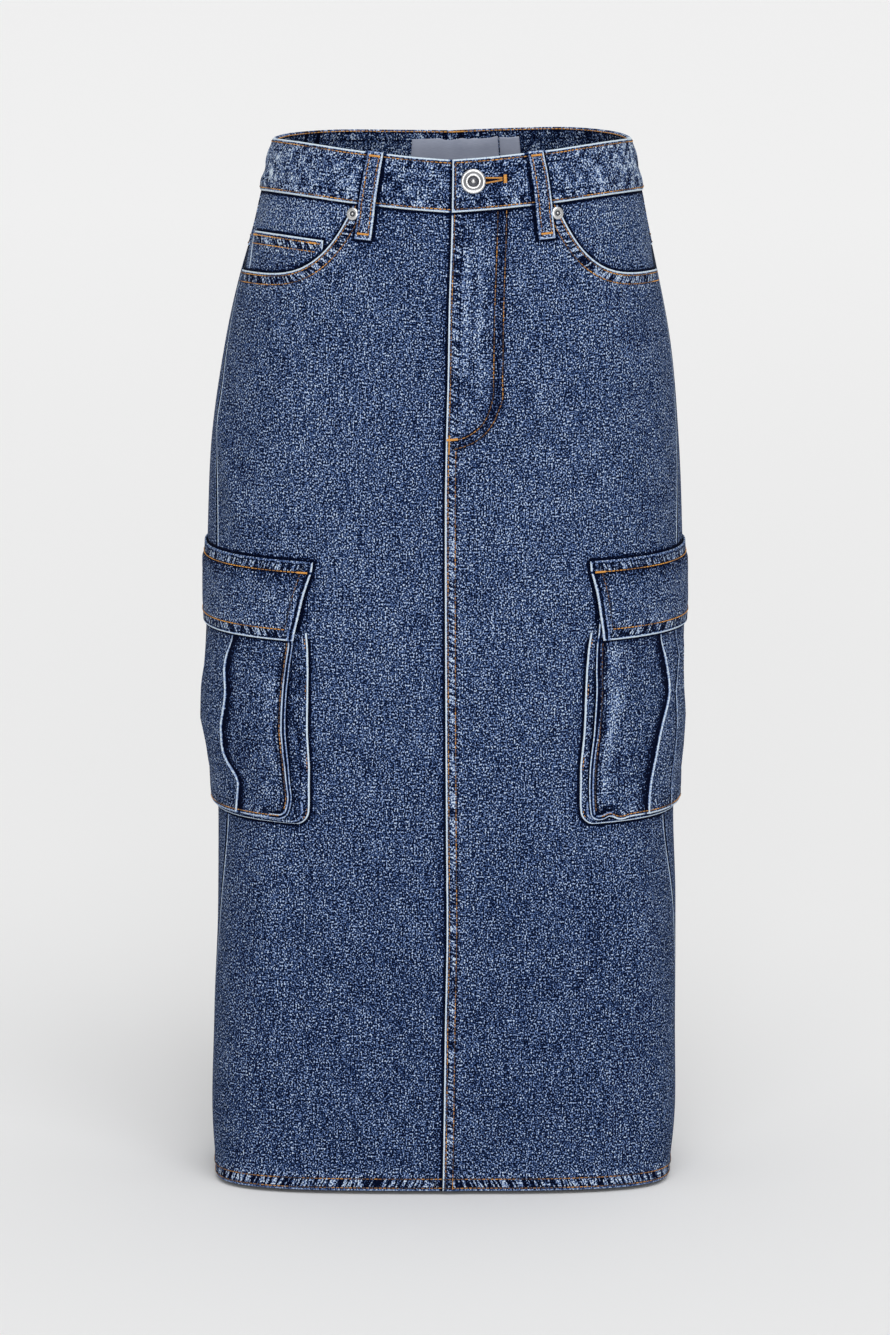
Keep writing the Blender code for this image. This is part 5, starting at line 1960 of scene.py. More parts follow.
@dataclass(frozen=True)
class CargoSizes:
    """The sizes of one side's cargo pocket. u is the distance in front of its middle."""

    side: Side
    gusset_half: float = 0.097
    gusset_top: float = -0.350
    gusset_bottom: float = -0.4995
    gusset_radius: float = 0.010
    face_bottom: float = -0.4965
    pleat_raise: float = 0.0013
    pleat_start: float = -0.360
    pleat_start_length: float = 0.020
    flap_thickness: float = 0.0016
    flap_top: float = -0.2945
    flap_bottom: float = -0.3565

    FACES = {
        # z, where the pocket's middle lies, its depth, its fullness, where its folds lie
        RIGHT: (
            (-0.4965, -0.0098, 0.0036, 0.0000, 0.0320), (-0.4850, -0.0082, 0.0040, 0.0003, 0.0328),
            (-0.4710, -0.0070, 0.0040, 0.0003, 0.0335), (-0.4540, -0.0048, 0.0051, 0.0016, 0.0205),
            (-0.4300, -0.0032, 0.0057, 0.0044, 0.0222), (-0.4050, -0.0004, 0.0056, 0.0026, 0.0250),
            (-0.3800, 0.0010, 0.0044, 0.0004, 0.0205), (-0.3620, 0.0010, 0.0030, 0.0000, 0.0262),
            (-0.3500, 0.0000, 0.0029, 0.0000, 0.0305), (-0.3300, 0.0000, 0.0018, 0.0000, 0.0300),
            (-0.3085, 0.0000, 0.0013, 0.0000, 0.0290),
        ),
        LEFT: (
            (-0.4965, -0.0098, 0.0036, 0.0000, 0.0385), (-0.4850, -0.0082, 0.0042, 0.0000, 0.0375),
            (-0.4710, -0.0070, 0.0040, 0.0000, 0.0350), (-0.4540, -0.0048, 0.0050, 0.0002, 0.0318),
            (-0.4300, -0.0032, 0.0055, 0.0002, 0.0278), (-0.4050, -0.0004, 0.0048, 0.0000, 0.0172),
            (-0.3800, 0.0010, 0.0034, 0.0000, 0.0205), (-0.3620, 0.0010, 0.0029, 0.0000, 0.0270),
            (-0.3500, 0.0000, 0.0029, 0.0000, 0.0297), (-0.3300, 0.0000, 0.0018, 0.0000, 0.0295),
            (-0.3085, 0.0000, 0.0013, 0.0000, 0.0290),
        ),
    }
    WIDER = {
        # z, how much farther forward than usual the face's front edge lies
        RIGHT: (
            (-0.4965, -0.0015), (-0.4880, 0.0010), (-0.4788, 0.0022), (-0.4703, 0.0012),
            (-0.4487, 0.0000), (-0.3936, 0.0000), (-0.3746, 0.0018), (-0.3580, 0.0042),
            (-0.3085, 0.0042),
        ),
        LEFT: (
            (-0.4965, 0.0006), (-0.4703, 0.0014), (-0.4487, 0.0014), (-0.4214, 0.0010),
            (-0.3936, 0.0000), (-0.3746, 0.0008), (-0.3580, 0.0016), (-0.3085, 0.0016),
        ),
    }
    FLAP_ROWS = (
        # z, half of its width, how far out its back is
        (-0.3565, 0.0867, 0.0035), (-0.3380, 0.0915, 0.0028), (-0.3200, 0.0960, 0.0021),
        (-0.3075, 0.1005, 0.0018), (-0.3030, 0.1020, 0.0008), (-0.2945, 0.1035, 0.0007),
    )

    @property
    def face_half(self) -> float:
        """Half the width of the pocket's face."""
        return 0.085 + self.side * 0.004

    def half_at(self, r: Array) -> Array:
        """Half the width of the face at heights."""
        return self.face_half + smooth_rows(np.array(self.WIDER[self.side]), r)[..., 1]

    def row(self, r: Array) -> Array:
        """The pocket's middle, depth, fullness and folds at heights, in the last axis."""
        table = np.array(self.FACES[self.side])
        return looked_up(r, table[:, 0], table[:, 1:])

    def folds(self, r: Array) -> Array:
        """How far the pleat's folds lie from the pocket's middle, on a smooth line."""
        return smooth_rows(np.array(self.FACES[self.side]), r)[..., 4]

    def from_seam(self, u: Array, r: Array) -> Array:
        """How far in front of the side seam a place u in front of the pocket's middle is."""
        return u + self.row(r)[..., 0]

    def across(self, u: Array, r: Array) -> Array:
        """The v of a place u in front of the pocket's middle."""
        front, back = FORM.front_length(self.side, r), FORM.back_length(self.side, r)
        u = self.from_seam(u, r)
        return self.side * (1.0 - u / np.where(u >= 0, front, back))

    def outline(self, half: float, bottom: float, radius: float, top: float) -> Array:
        """Down one side of a pocket, along its bottom and up the other, as (u, r)."""
        down = [(half, r) for r in np.linspace(top, bottom + radius, 60)]
        curve = [
            (half - radius * (1 - math.cos(t)), bottom + radius * (1 - math.sin(t)))
            for t in np.linspace(0.0, math.pi / 2, 13)[1:]
        ]
        along = [(u, bottom) for u in np.linspace(half - radius, radius - half, 80)[1:-1]]
        mirrored = [(-u, r) for u, r in reversed(down + curve)]
        return np.array(down + curve + along + mirrored)

    def sewn_line(self) -> Array:
        """Where the bellows are sewn to the skirt, from the front round to the back."""
        return self.outline(
            self.gusset_half, self.gusset_bottom, self.gusset_radius, self.gusset_top
        )

    def shadow_line(self, ahead: float) -> Array:
        """Where the pocket and its flap leave the skirt.

        Args:
            ahead: 1 for the front half of the pocket, -1 for its rear half.

        Returns:
            One (distance in front of the side seam, height) a row.
        """
        flap = [(0.0, self.flap_top), *((half, z) for z, half, _ in self.FLAP_ROWS[::-1])]
        line = self.outline(
            self.gusset_half, self.gusset_bottom, self.gusset_radius, self.flap_bottom
        )
        line = line[: len(line) // 2]
        points = np.concatenate((flap, line, ((0.0, self.gusset_bottom),))) * (ahead, 1.0)
        return np.stack((self.from_seam(*points.T), points[:, 1]), axis=1)


class PocketCloth(Cloth):
    """A piece of a cargo pocket, where a is the distance in front of the pocket's middle."""

    def __init__(self, name: str, side: Side, *under: str) -> None:
        """Name the piece after its side, and what it lies on."""
        super().__init__(f"{name}_{WORDS[side]}")
        self.sizes = CargoSizes(side)
        self.rests_on = tuple(f"{word}_{WORDS[side]}" for word in under)

    def across(self, a: Array, b: Array) -> Array:
        """The v of flat places."""
        return self.sizes.across(a, b)


class PocketFace(PocketCloth):
    """A cargo pocket's face, with a box pleat down its middle."""

    crumple = 0.30
    INNER_STEP = 3
    THICKNESS = 0.0010
    CORNER, LINE_INSET, CORNER_REACH = 0.0056, 0.0030, 0.016
    # How worn the edge and the line inside it are.
    EDGE_WORN = {LEFT: (0.95, 0.70), RIGHT: (0.75, 1.0)}
    TOP_Z, SHADED_Z, EDGE_TOP_Z, FOLD_TOP_Z, ROW_TOP_Z = -0.3085, -0.3560, -0.345, -0.3555, -0.358
    # How far inside (below 0) or outside a fold the columns beside it lie.
    NEAR_FOLD = (-0.0014, -0.0008, -0.0004, -0.0001, 0.0002, 0.0005, 0.0009, 0.0015)
    WRINKLES = (
        ((0.0560, -0.4300), (0.0740, -0.4640), 0.0022, 0.0005, 0.16),
        ((0.0620, -0.4180), (0.0780, -0.4480), 0.0020, 0.0004, 0.14),
        ((0.0440, -0.4520), (0.0700, -0.4850), 0.0024, 0.0005, 0.15),
        ((0.0660, -0.3720), (0.0640, -0.4120), 0.0040, 0.0004, 0.12),
        ((0.0700, -0.3950), (0.0760, -0.4250), 0.0030, 0.0003, 0.14),
        ((0.0400, -0.4700), (0.0640, -0.4780), 0.0030, 0.0003, 0.08),
        ((0.0030, -0.3700), (0.0020, -0.4900), 0.0011, 0.0003, 0.16),
        ((0.0120, -0.3650), (0.0110, -0.4500), 0.0016, 0.0002, 0.06),
    )
    LEFT_WRINKLES = (
        ((0.0740, -0.366), (0.0735, -0.384), 0.0036, 0.0004, 0.26),
        ((0.0735, -0.396), (0.0755, -0.436), 0.0046, 0.0005, 0.28),
        ((0.0780, -0.448), (0.0765, -0.480), 0.0042, 0.0004, 0.26),
        ((0.030, -0.488), (0.070, -0.490), 0.0030, 0.0004, 0.12),
    )
    MIDDLE_FOLD = ((0.0040, -0.3560), (-0.0035, -0.3790), (0.0055, -0.4050), (0.0020, -0.4450),
                   (0.0050, -0.4960))

    def __init__(self, side: Side) -> None:
        """Lay out the face's edges, folds and wrinkles."""
        super().__init__("cargo_face", side, "cargo_gusset")
        half, inset = self.sizes.face_half, self.LINE_INSET
        edge, corner = self.edge_line(half), self.edge_line(self.CORNER_REACH)
        fold = self.fold_line()
        # Painted shadow under the flap's edge.
        self.tucks = [((-half, self.SHADED_Z), (half, self.SHADED_Z))]
        edge_worn, line_worn = self.EDGE_WORN[side]
        for mirror in MIRRORS:
            self.seams += [
                Seam(edge * mirror, edge_worn, 0.45),
                Seam(beside(corner, inset) * mirror, line_worn, 0.0, 2.0),
                Seam((fold - (0.0005, 0.0)) * mirror, 0.90, 0.0, 2.2),
            ]
            # Painted shadow beyond the pleat's fold and beside the line inside the edge.
            self.grooves.append((fold + (0.0019, 0.0)) * mirror)
            self.grooves += [beside(corner, inset * share) * mirror for share in (0.55, 1.75)]
        if side == LEFT:
            middle = np.array(self.MIDDLE_FOLD)
            self.seams.append(Seam(middle, 0.75, 0.0, 1.5))
            # Painted shadow beside the middle fold.
            self.grooves.append(middle + (0.0024, 0.0))
        made = creases(self.WRINKLES if side == RIGHT else self.WRINKLES[3:] + self.LEFT_WRINKLES)
        self.creases = made + [crease.mirrored() for crease in made]

    def edge_line(self, reach: float) -> Array:
        """The face's edge, down its front and some way along its bottom."""
        s = self.sizes
        down = np.linspace(self.EDGE_TOP_Z, s.face_bottom, 90)
        a = self.half_at(down)
        along = np.linspace(a[-1], s.face_half - reach, 40)[1:]
        line = np.stack((np.append(a, along), np.append(down, np.full(39, s.face_bottom))), axis=1)
        line[:, 1] = self.lifted(*line.T)
        return line

    def half_at(self, b: Array) -> Array:
        """Half the face's width, with its bottom corners rounded."""
        share = arched((b - self.sizes.face_bottom) / self.CORNER)
        return self.sizes.half_at(b) - self.CORNER * (1.0 - share)

    def lifted(self, a: Array, b: Array) -> Array:
        """The heights of flat places, where the left pocket's bottom edge is rippled."""
        if self.sizes.side == RIGHT:
            return b
        inward = self.sizes.face_half - np.abs(a)
        ripple = 0.0022 * bell(inward, 0.0150, 0.0040) - 0.0014 * bell(inward, 0.0250, 0.0055)
        return b + ripple * eased(1.0 - (b - self.sizes.face_bottom) / 0.022)

    def fold_line(self) -> Array:
        """The pleat's front fold, from the flap down to the pocket's bottom."""
        b = np.linspace(self.FOLD_TOP_Z, self.sizes.face_bottom, 60)
        return np.stack((self.sizes.folds(b), b), axis=1)

    def outer(self, a: Array, b: Array) -> Array:
        """The face's outside, with its pleat and its fullness."""
        s = self.sizes
        _, depth, fullness, _ = np.moveaxis(s.row(b), -1, 0)
        below = eased((s.pleat_start - b) / s.pleat_start_length)
        inward = s.folds(b) - np.abs(a)
        pleat = s.pleat_raise * eased((inward + 0.0004) / 0.0007)
        roll = 0.0004 * bell(inward, 0.0012, 0.0011)
        full = fullness * np.maximum(1.0 - (a / s.face_half) ** 2, 0.0)
        return depth + below * (pleat + roll) + full

    def grid(self) -> tuple[Array, Array]:
        """Columns that follow the pleat's folds, rows from the bottom up."""
        s, near = self.sizes, np.array(self.NEAR_FOLD)
        length = self.TOP_Z - s.face_bottom
        b = s.face_bottom + graded(length, 0.0017) * length
        fold = s.folds(b)[None]
        inside = np.linspace(0.0, 1.0, 17)[:-1, None] * (fold + near[0])
        outside = 1.0 - graded(0.055, 0.0016, both=False)[::-1]
        start = fold + near[-1]
        beyond = start + outside[1:, None] * (self.half_at(b)[None] - start)
        half = np.concatenate((inside, fold + near[:, None], beyond))
        a = np.concatenate((-half[:0:-1], half))
        return a, self.lifted(a, np.tile(b, (len(a), 1)))

    def fade(self, a: Array, b: Array) -> Array:
        """Painted shadow beside the pleat's fold, painted light on the raised box, paler near the
        front edge.
        """
        s = self.sizes
        beyond = np.abs(a) - s.folds(b)
        # Painted shadow cast by the pleat's raised fold onto the face beyond it.
        shade = 0.62 * bell(beyond, 0.0022, 0.0048) * (beyond > 0)
        # Painted light on the raised box, more on the left pocket.
        box = (0.06 if s.side == LEFT else 0.01) * (beyond < 0)
        edge = 0.05 * eased((np.abs(a) - s.face_half + 0.024) / 0.012)
        return box + edge - shade - 0.065

    def sew(self, sewing: Sewing) -> None:
        """Sew round the face's edge."""
        half, bottom = self.sizes.face_half, self.sizes.face_bottom
        upright = beside(self.edge_line(half), 0.0046)
        heights = upright[:, 1]
        upright = upright[(heights < self.ROW_TOP_Z) & (heights > bottom + 0.007)]
        thread = Thread.DARK if self.sizes.side == LEFT else Thread.BROWN
        a = np.linspace(half - 0.0075, 0.0075 - half, 90)
        row = np.stack((a, self.lifted(a, np.full(90, bottom)) + 0.0026), axis=1)
        sewing.row(self, row, Thread.AGED, 72)
        for mirror in MIRRORS:
            sewing.row(self, upright * mirror, thread, 71)


class PocketFlap(PocketCloth):
    """A cargo pocket's flap, sewn on above the face and lying over its mouth."""

    crumple = 0.18
    ROW = 0.0086
    # Where each crease below the top row is, how far it leans, how long and how pale it is.
    CREASES = (
        (0.020, 0.001, 0.012, 0.05), (0.036, -0.002, 0.016, 0.07), (0.052, 0.002, 0.011, 0.06),
        (0.068, 0.001, 0.018, 0.09), (0.080, 0.003, 0.014, 0.11), (0.087, 0.001, 0.010, 0.08),
    )
    inside_shows_back = False

    def __init__(self, side: Side) -> None:
        """Lay out the flap's edges, lines and creases."""
        super().__init__("cargo_flap", side, "front", "back")
        s = self.sizes
        top, bottom, ledge = s.flap_top, s.flap_bottom, s.flap_top - self.ROW
        wide, narrow = s.FLAP_ROWS[-1][1], s.FLAP_ROWS[0][1]
        self.seams = [
            Seam(((-wide, top), (wide, top)), 0.30, 0.85),
            Seam(((-narrow, bottom), (narrow, bottom)), 0.95, 0.95),
        ]
        for inset, *looks in ((0.0, 0.95, 0.45), (0.0046, 0.60, 0.0, 1.9)):
            self.seams += [Seam(self.end_line(inset) * mirror, *looks) for mirror in MIRRORS[::-1]]
        # Painted shadow under the top row's ledge and inside the front edges.
        self.grooves = [((-wide, ledge - 0.0002), (wide, ledge - 0.0002))]
        self.grooves += [self.end_line(0.0028) * mirror for mirror in MIRRORS[::-1]]
        high = ledge - 0.002
        self.creases = [
            Crease((sign * a, high), (sign * (a + lean), ledge - deep), 0.0024, 0.0003, pale)
            for sign, _ in MIRRORS
            for a, lean, deep, pale in self.CREASES
        ]

    def end_line(self, inset: float) -> Array:
        """The flap's front edge, or a line a distance inside it."""
        b = np.linspace(self.sizes.flap_top, self.sizes.flap_bottom, 20)
        return np.stack((self._half(b) - inset, b), axis=1)

    def _half(self, b: Array) -> Array:
        """Half of the flap's width."""
        return smooth_rows(np.array(self.sizes.FLAP_ROWS), b)[..., 1]

    def outer(self, a: Array, b: Array) -> Array:
        """The flap's outside: flat where it is sewn, then puffed, then flat at its hem."""
        s = self.sizes
        puff = eased((s.flap_top - self.ROW - b) / 0.006) * eased((b - s.flap_bottom) / 0.02)
        return self.inner(a, b) + s.flap_thickness + 0.0005 * puff

    def inner(self, a: Array, b: Array) -> Array:
        """The flap's back."""
        return np.interp(b, *np.array(self.sizes.FLAP_ROWS).T[[0, 2]])

    def grid(self) -> tuple[Array, Array]:
        """Columns between the flap's ends, rows from its hem up."""
        s = self.sizes
        length = s.flap_top - s.flap_bottom
        b = s.flap_bottom + graded(length, 0.0014) * length
        share = 2.0 * graded(0.19, 0.0018) - 1.0
        return share[:, None] * self._half(b)[None], np.tile(b, (len(share), 1))

    def fade(self, a: Array, b: Array) -> Array:
        """Painted shadow, uneven, under the top row's ledge; paler down the middle."""
        below = self.sizes.flap_top - self.ROW - b
        reach = 0.0068 * (1.0 + 0.45 * uneven(a, 0.030, 17))
        # Painted shadow under the ledge of the top row.
        dark = 0.30 * bell(below, 0.001, reach) * (below > 0)
        return 0.005 + 0.03 * bell(below, 0.024, 0.012) - dark

    def sew(self, sewing: Sewing) -> None:
        """Sew the flap's rows and the tacks at its top corners."""
        s, row = self.sizes, self.ROW
        top, bottom = s.flap_top - row, s.flap_bottom + row
        for b, thread, seed in ((top, Thread.ORANGE, 81), (bottom, Thread.ORANGE, 82)):
            reach = float(self._half(np.array(b))) - (row if b == bottom else 0.004)
            sewing.row(self, ((-reach, b), (reach, b)), thread, seed)
        ends = self.end_line(row)
        ends = ends[(ends[:, 1] < top) & (ends[:, 1] > bottom)]
        for mirror in MIRRORS:
            sewing.row(self, ends * mirror, Thread.DARK, 83)
            sewing.tack(self, np.array(((0.0905, top), (0.0985, top))) * mirror, 0.0015)


class PocketGusset(PocketCloth):
    """The bellows round a cargo pocket: a flange on the skirt and a wall up to the face."""

    crumple = 0.45
    held = "stretched"
    ON_SKIRT, WALL, INSET, WIDTH = 0.0005, 0.0010, 0.0020, 0.0175
    STAND = ON_SKIRT + WALL
    RISER_STEPS = 7
    INNER_STEP = 2
    # How much painted shade darkens the flange towards the wall under the face.
    DARK = {LEFT: 0.26, RIGHT: 0.15}

    def __init__(self, side: Side) -> None:
        """Put the bellows on the front and the back."""
        super().__init__("cargo_gusset", side, "front", "back")

    def _lines(self) -> tuple[Array, Array]:
        """The flange's outer edge and the foot of the wall, point for point."""
        s = self.sizes
        foot = s.outline(
            s.face_half - self.INSET, s.face_bottom + self.INSET, 0.004, s.gusset_top
        )
        wider = (s.half_at(foot[:, 1]) - s.face_half) * eased((np.abs(foot[:, 0]) - 0.06) / 0.01)
        foot[:, 0] += np.sign(foot[:, 0]) * wider
        return s.sewn_line(), foot

    def grid(self) -> tuple[Array, Array]:
        """Stations along the outline, each from the flange's edge to the wall's top."""
        sewn, foot = self._lines()
        flange = np.concatenate((graded(0.012, 0.0013, both=False), np.ones(self.RISER_STEPS)))
        points = sewn[:, None] + flange[None, :, None] * (foot - sewn)[:, None]
        return points[..., 0], points[..., 1]

    def flat_size(self, a: Array, b: Array) -> tuple[float, float]:
        """The strip's length and width before it is bent round the face."""
        middle = np.stack(((a[:, 0] + a[:, -1]) / 2.0, (b[:, 0] + b[:, -1]) / 2.0), axis=1)
        return float(lengths_along(middle)[-1]), self.WIDTH

    def layers(self, a: Array, b: Array) -> tuple[Array, Array]:
        """The bellows' two sides, bent up to the face and bulging a little."""
        s, risers = self.sizes, self.RISER_STEPS
        flat = np.linspace(0.0, 1.0, a.shape[1] - risers)
        wall = np.concatenate((np.zeros(len(flat)), np.linspace(0.0, 1.0, risers + 1)[1:]))
        puff = np.concatenate((np.sin(flat * math.pi), np.zeros(risers)))
        lift = 0.0007 * puff[None] * (1.0 + 0.4 * uneven(b, 0.03, 5))
        low, top = self.ON_SKIRT, s.row(b)[..., 1] - self.WALL - 0.0004
        outer = low + self.WALL + lift + wall[None] * (top - low - self.WALL)
        inner = low + lift * 0.6 + wall[None] * (top - low - 0.0001)
        gap = np.hypot(a - a[:, :1], b - b[:, :1])
        outer, inner = self.thinned(outer, inner, gap / self.ROUNDING)
        inward = (0.0, s.face_bottom + 0.08) - self._lines()[1]
        inward /= np.linalg.norm(inward, axis=1, keepdims=True)
        shift = np.minimum(wall * 5.0, 1.0)[None] * self.WALL
        back_a, back_b = a + inward[:, :1] * shift, b + inward[:, 1:] * shift
        return (
            FORM.place(self.across(a, b), b, outer),
            FORM.place(self.across(back_a, back_b), back_b, inner),
        )

    def looks(self, a: Array, b: Array) -> dict[str, Array]:
        """The worn edges of the flange and of the wall's top, and the painted shade towards the
        wall under the face.
        """
        found, gap = super().looks(a, b), np.hypot(a - a[:, :1], b - b[:, :1])
        wall = np.maximum(np.arange(a.shape[1]) - (a.shape[1] - self.RISER_STEPS - 1), 0)[None]
        near_top, from_top = wall > 0, (self.RISER_STEPS - wall) * 0.0005
        leaning = np.abs(gap - 0.0056 - 0.10 * (b + 0.490)) * 1.4
        second = leaning + 0.02 * eased((b + 0.482) / 0.012)
        inside = np.max(gap, axis=1, keepdims=True) - gap
        found["edge"] = np.where(near_top, from_top, np.minimum(gap * 1.2, second))
        found["run"] = lengths_along(self.sizes.sewn_line())[:, None] + np.zeros(gap.shape)
        found["worn"] = np.where(second < gap, 0.60, 1.0)
        found["roped"] = np.full(gap.shape, 0.25)
        # Painted shadow near the foot of the wall.
        found["tuck"] = np.where(near_top, FAR, inside)
        # Painted shade darkening the flange towards the wall.
        found["fade"] = 0.02 - self.DARK[self.sizes.side] * eased((gap - 0.003) / 0.005)
        return found

    def sew(self, sewing: Sewing) -> None:
        """Sew the flange to the skirt."""
        thread = Thread.BRIGHT if self.sizes.side == LEFT else Thread.AGED
        sewing.row(self, beside(self.sizes.sewn_line(), 0.0020), thread, 91)


# ---- metal ----------------------------------------------------------------------


@dataclass
class Turned:
    """A turned piece of metal.

    Attributes:
        name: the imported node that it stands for.
        profile: (radius, height, age) from the top of the axis outward and down, in mm.
        v, r: where on the skirt it sits.
        out: how far out its back is.
    """

    name: str
    profile: tuple[tuple[float, float, float], ...]
    v: float
    r: float
    out: float
    turns: int = 72

    def build(self, finishes: Finishes) -> bpy.types.Object:
        """Turn the profile and seat the piece on the cloth."""
        profile = self._smoothed() * (0.001, 0.001, 1.0)
        angle = np.arange(self.turns)[:, None] * 2.0 * math.pi / self.turns
        v, r = np.array(self.v), np.array(self.r)
        up = FORM.normal(v, FORM.height(v, r))
        base = FORM.place(v, r, np.array(self.out))
        side = np.cross((0.0, 0.0, 1.0), up)
        side /= np.linalg.norm(side)
        around = np.cos(angle) * side + np.sin(angle) * np.cross(up, side)
        rim, ends = profile[1:-1], base + profile[[0, -1], 1:2] * up
        rings = base + rim[:, None, :1] * around[None] + rim[:, None, 1:2] * up
        points = np.concatenate((ends[:1], rings.reshape(-1, 3), ends[1:]))
        faces = (1 + rings_joined(len(rim), self.turns)[:, [0, 3, 2, 1]]).tolist()
        last = 1 + (len(rim) - 1) * self.turns
        for k in range(self.turns):
            n = (k + 1) % self.turns
            faces += [(0, 1 + k, 1 + n), (last + k, len(points) - 1, last + n)]
        mesh = smooth_mesh(self.name, points, faces)
        ages = np.repeat(rim[:, 2], self.turns)
        store(mesh, "age", np.concatenate((profile[:1, 2], ages, profile[-1:, 2])))
        mesh.materials.append(finishes.steel)
        return add_object(f"{self.name}_metal", mesh, "steel", self.name)

    def _smoothed(self) -> Array:
        """The profile with more points, its corners a little rounded."""
        rows = np.array(self.profile)
        for _ in range(2):
            quarter, rest = 0.75 * rows[:-1] + 0.25 * rows[1:], 0.25 * rows[:-1] + 0.75 * rows[1:]
            mixed = np.stack((quarter, rest), axis=1).reshape(-1, 3)
            rows = np.concatenate((rows[:1], mixed, rows[-1:]))
        return rows


BUTTON_PROFILE = (
    (0.0, 3.0, 0.0), (0.8, 2.9, 0.0), (1.5, 2.5, 0.1), (1.9, 1.8, 0.8), (2.9, 1.5, 1.0),
    (3.6, 1.7, 0.9), (4.1, 2.9, 0.4), (4.6, 3.4, 0.05), (5.4, 3.45, 0.0), (6.0, 3.0, 0.75),
    (6.6, 2.95, 0.85), (7.2, 3.3, 0.35), (8.2, 3.6, 0.0), (9.1, 3.2, 0.0), (9.65, 2.3, 0.05),
    (9.4, 1.2, 0.3), (7.0, 0.7, 0.8), (3.2, 0.7, 1.0), (3.2, 0.0, 1.0), (0.0, 0.0, 1.0),
)
RIVET_PROFILE = (
    (0.0, 1.45, 0.0), (0.6, 1.35, 0.0), (1.0, 0.95, 0.5), (1.3, 0.6, 1.0), (1.8, 0.6, 1.0),
    (2.1, 0.95, 0.6), (2.4, 1.20, 0.05), (3.4, 1.20, 0.0), (4.3, 0.85, 0.0), (4.9, 0.35, 0.1),
    (4.8, 0.0, 0.5), (0.0, 0.0, 1.0),
)


# ---- the sub-assemblies ----------------------------------------------------------


@dataclass
class Assembly:
    """Pieces of cloth that are sewn and worn together, with their stitches."""

    name: str
    cloths: list[Cloth]

    def build(self, finishes: Finishes) -> None:
        """Build each piece and one mesh of all their stitches."""
        sewing = Sewing(f"{self.name}_stitches")
        for cloth in self.cloths:
            cloth.build(finishes)
            cloth.sew(sewing)
        sewing.build(finishes)


@dataclass
class Skirt:
    """The whole garment, as its sub-assemblies."""

    button_v: float = 0.082
    button_r: float = 0.003
    rivet_v: float = 0.399
    rivet_drop: float = 0.0078
    gap: float = 0.0003

    def build(self, finishes: Finishes) -> None:
        """Build every piece."""
        band = Waistband()
        labels = [
            BandLabel("label", 1.81, 2.165, 0.030), BandLabel("size_tab", 1.72, 1.805, 0.022)
        ]
        loops = [BeltLoop(f"belt_loop_{name}", top, bottom, band) for name, top, bottom in LOOPS]
        assemblies = [
            Assembly("front", [Front(LEFT), Front(RIGHT)]),
            Assembly("back", [Back(LEFT), Back(RIGHT), Yoke(LEFT), Yoke(RIGHT)]),
            Assembly("hip_pocket", [Facing(LEFT), Facing(RIGHT), CoinPocket(), FlyShield()]),
            Assembly("waist", [band, *labels]),
            Assembly("belt_loop", loops),
        ]
        for side, word in WORDS.items():
            pocket = [PocketGusset(side), PocketFace(side), PocketFlap(side)]
            assemblies.append(Assembly(f"cargo_pocket_{word}", pocket))
        for assembly in assemblies:
            assembly.build(finishes)
        self._fasten(band, finishes)

    def _fasten(self, band: Waistband, finishes: Finishes) -> None:
        """Fit the waist button and the rivets."""
        out = float(band.outer(band.along(self.button_v, 0.0), 0.0)) + self.gap
        Turned("waist_button", BUTTON_PROFILE, self.button_v, self.button_r, out).build(finishes)
        for side, word in WORDS.items():
            v, r = side * (self.rivet_v + side * FRONT_SHIFT), BAND_SEAM_Z - self.rivet_drop
            Turned(f"rivet_{word}", RIVET_PROFILE, v, r, self.gap).build(finishes)


# ---- the studio -------------------------------------------------------------------


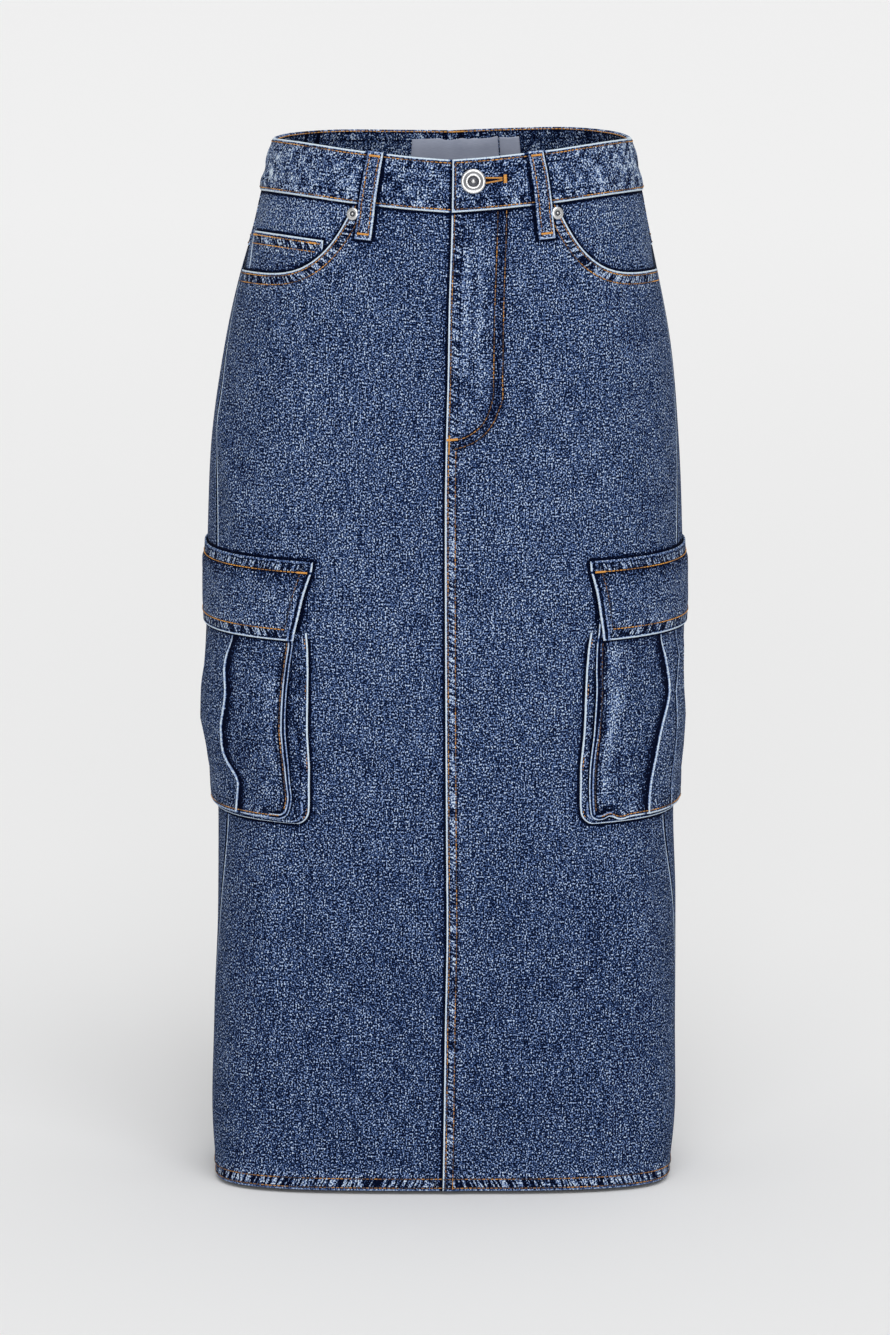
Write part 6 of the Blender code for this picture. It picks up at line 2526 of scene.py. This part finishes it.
@dataclass
class Studio:
    """A plain pale floor, soft lights and the camera."""

    floor_z: float = HEM_Z - 0.003
    reach: float = 60.0
    pitch: float = math.radians(10.0)
    distance: float = 7.0
    aim: Vector = Vector((0.0, 0.0, -0.3946)).freeze()
    flash_place: Vector = Vector((0.050, -6.94, 1.02)).freeze()
    flash_power: float = 120.0
    flash_size: float = 1.6
    air: float = 0.50
    lens: float = 242.0

    SUNS = (
        # name, the way towards it, how wide it spreads in degrees, its strength
        ("key", (0.15, -1.0, 1.3), 40.0, 1.20), ("top", (0.2, 0.1, 1.0), 80.0, 0.45),
    )

    def build(self, finishes: Finishes) -> None:
        """Build the studio."""
        self._paper(finishes)
        flash = self._lamp("flash", "AREA", self.flash_place - self.aim, self.flash_power)
        flash.location = self.flash_place
        flash.data.shape, flash.data.size = "SQUARE", self.flash_size
        for name, way, spread, power in self.SUNS:
            sun = self._lamp(name, "SUN", Vector(way), power)
            sun.data.angle = math.radians(spread)
        world = bpy.data.worlds.new("studio_air")
        world.use_nodes = True
        background = world.node_tree.nodes["Background"]
        background.inputs["Color"].default_value = (1.0, 1.0, 1.0, 1.0)
        background.inputs["Strength"].default_value = self.air
        bpy.context.scene.world = world
        bpy.context.scene.view_settings.view_transform = "Standard"
        self._camera()

    def _paper(self, finishes: Finishes) -> None:
        """The floor, just under the hem."""
        corners = ((-1.0, -1.0), (1.0, -1.0), (1.0, 1.0), (-1.0, 1.0))
        points = [(x * self.reach, y * self.reach, self.floor_z) for x, y in corners]
        mesh = bpy.data.meshes.new("studio_paper")
        mesh.from_pydata(points, [], [(0, 1, 2, 3)])
        mesh.materials.append(finishes.floor)
        linked("studio_paper", mesh)

    def _lamp(self, name: str, kind: str, way: Vector, power: float) -> bpy.types.Object:
        """A light that shines from a direction.

        Args:
            name: its name.
            kind: SUN or AREA.
            way: the direction towards it.
            power: how strong it is.

        Returns:
            The new light.
        """
        light = linked(name, bpy.data.lights.new(name, kind))
        light.data.energy = power
        light.rotation_euler = way.to_track_quat("Z", "Y").to_euler()
        return light

    def _camera(self) -> None:
        """The camera, looking a little down at the middle of the skirt."""
        camera = linked("camera", bpy.data.cameras.new("camera"))
        camera.data.lens, camera.data.sensor_width = self.lens, 36.0
        back, up = -math.cos(self.pitch), math.sin(self.pitch)
        camera.location = self.aim + self.distance * Vector((0.0, back, up))
        camera.rotation_euler = (math.pi / 2 - self.pitch, 0.0, 0.0)
        bpy.context.scene.camera = camera


def main() -> None:
    """Build the skirt and the studio."""
    logging.basicConfig(level=logging.INFO, format="%(name)s: %(message)s")
    finishes = Finishes()
    Skirt().build(finishes)
    Studio().build(finishes)


if __name__ == "__main__":
    main()
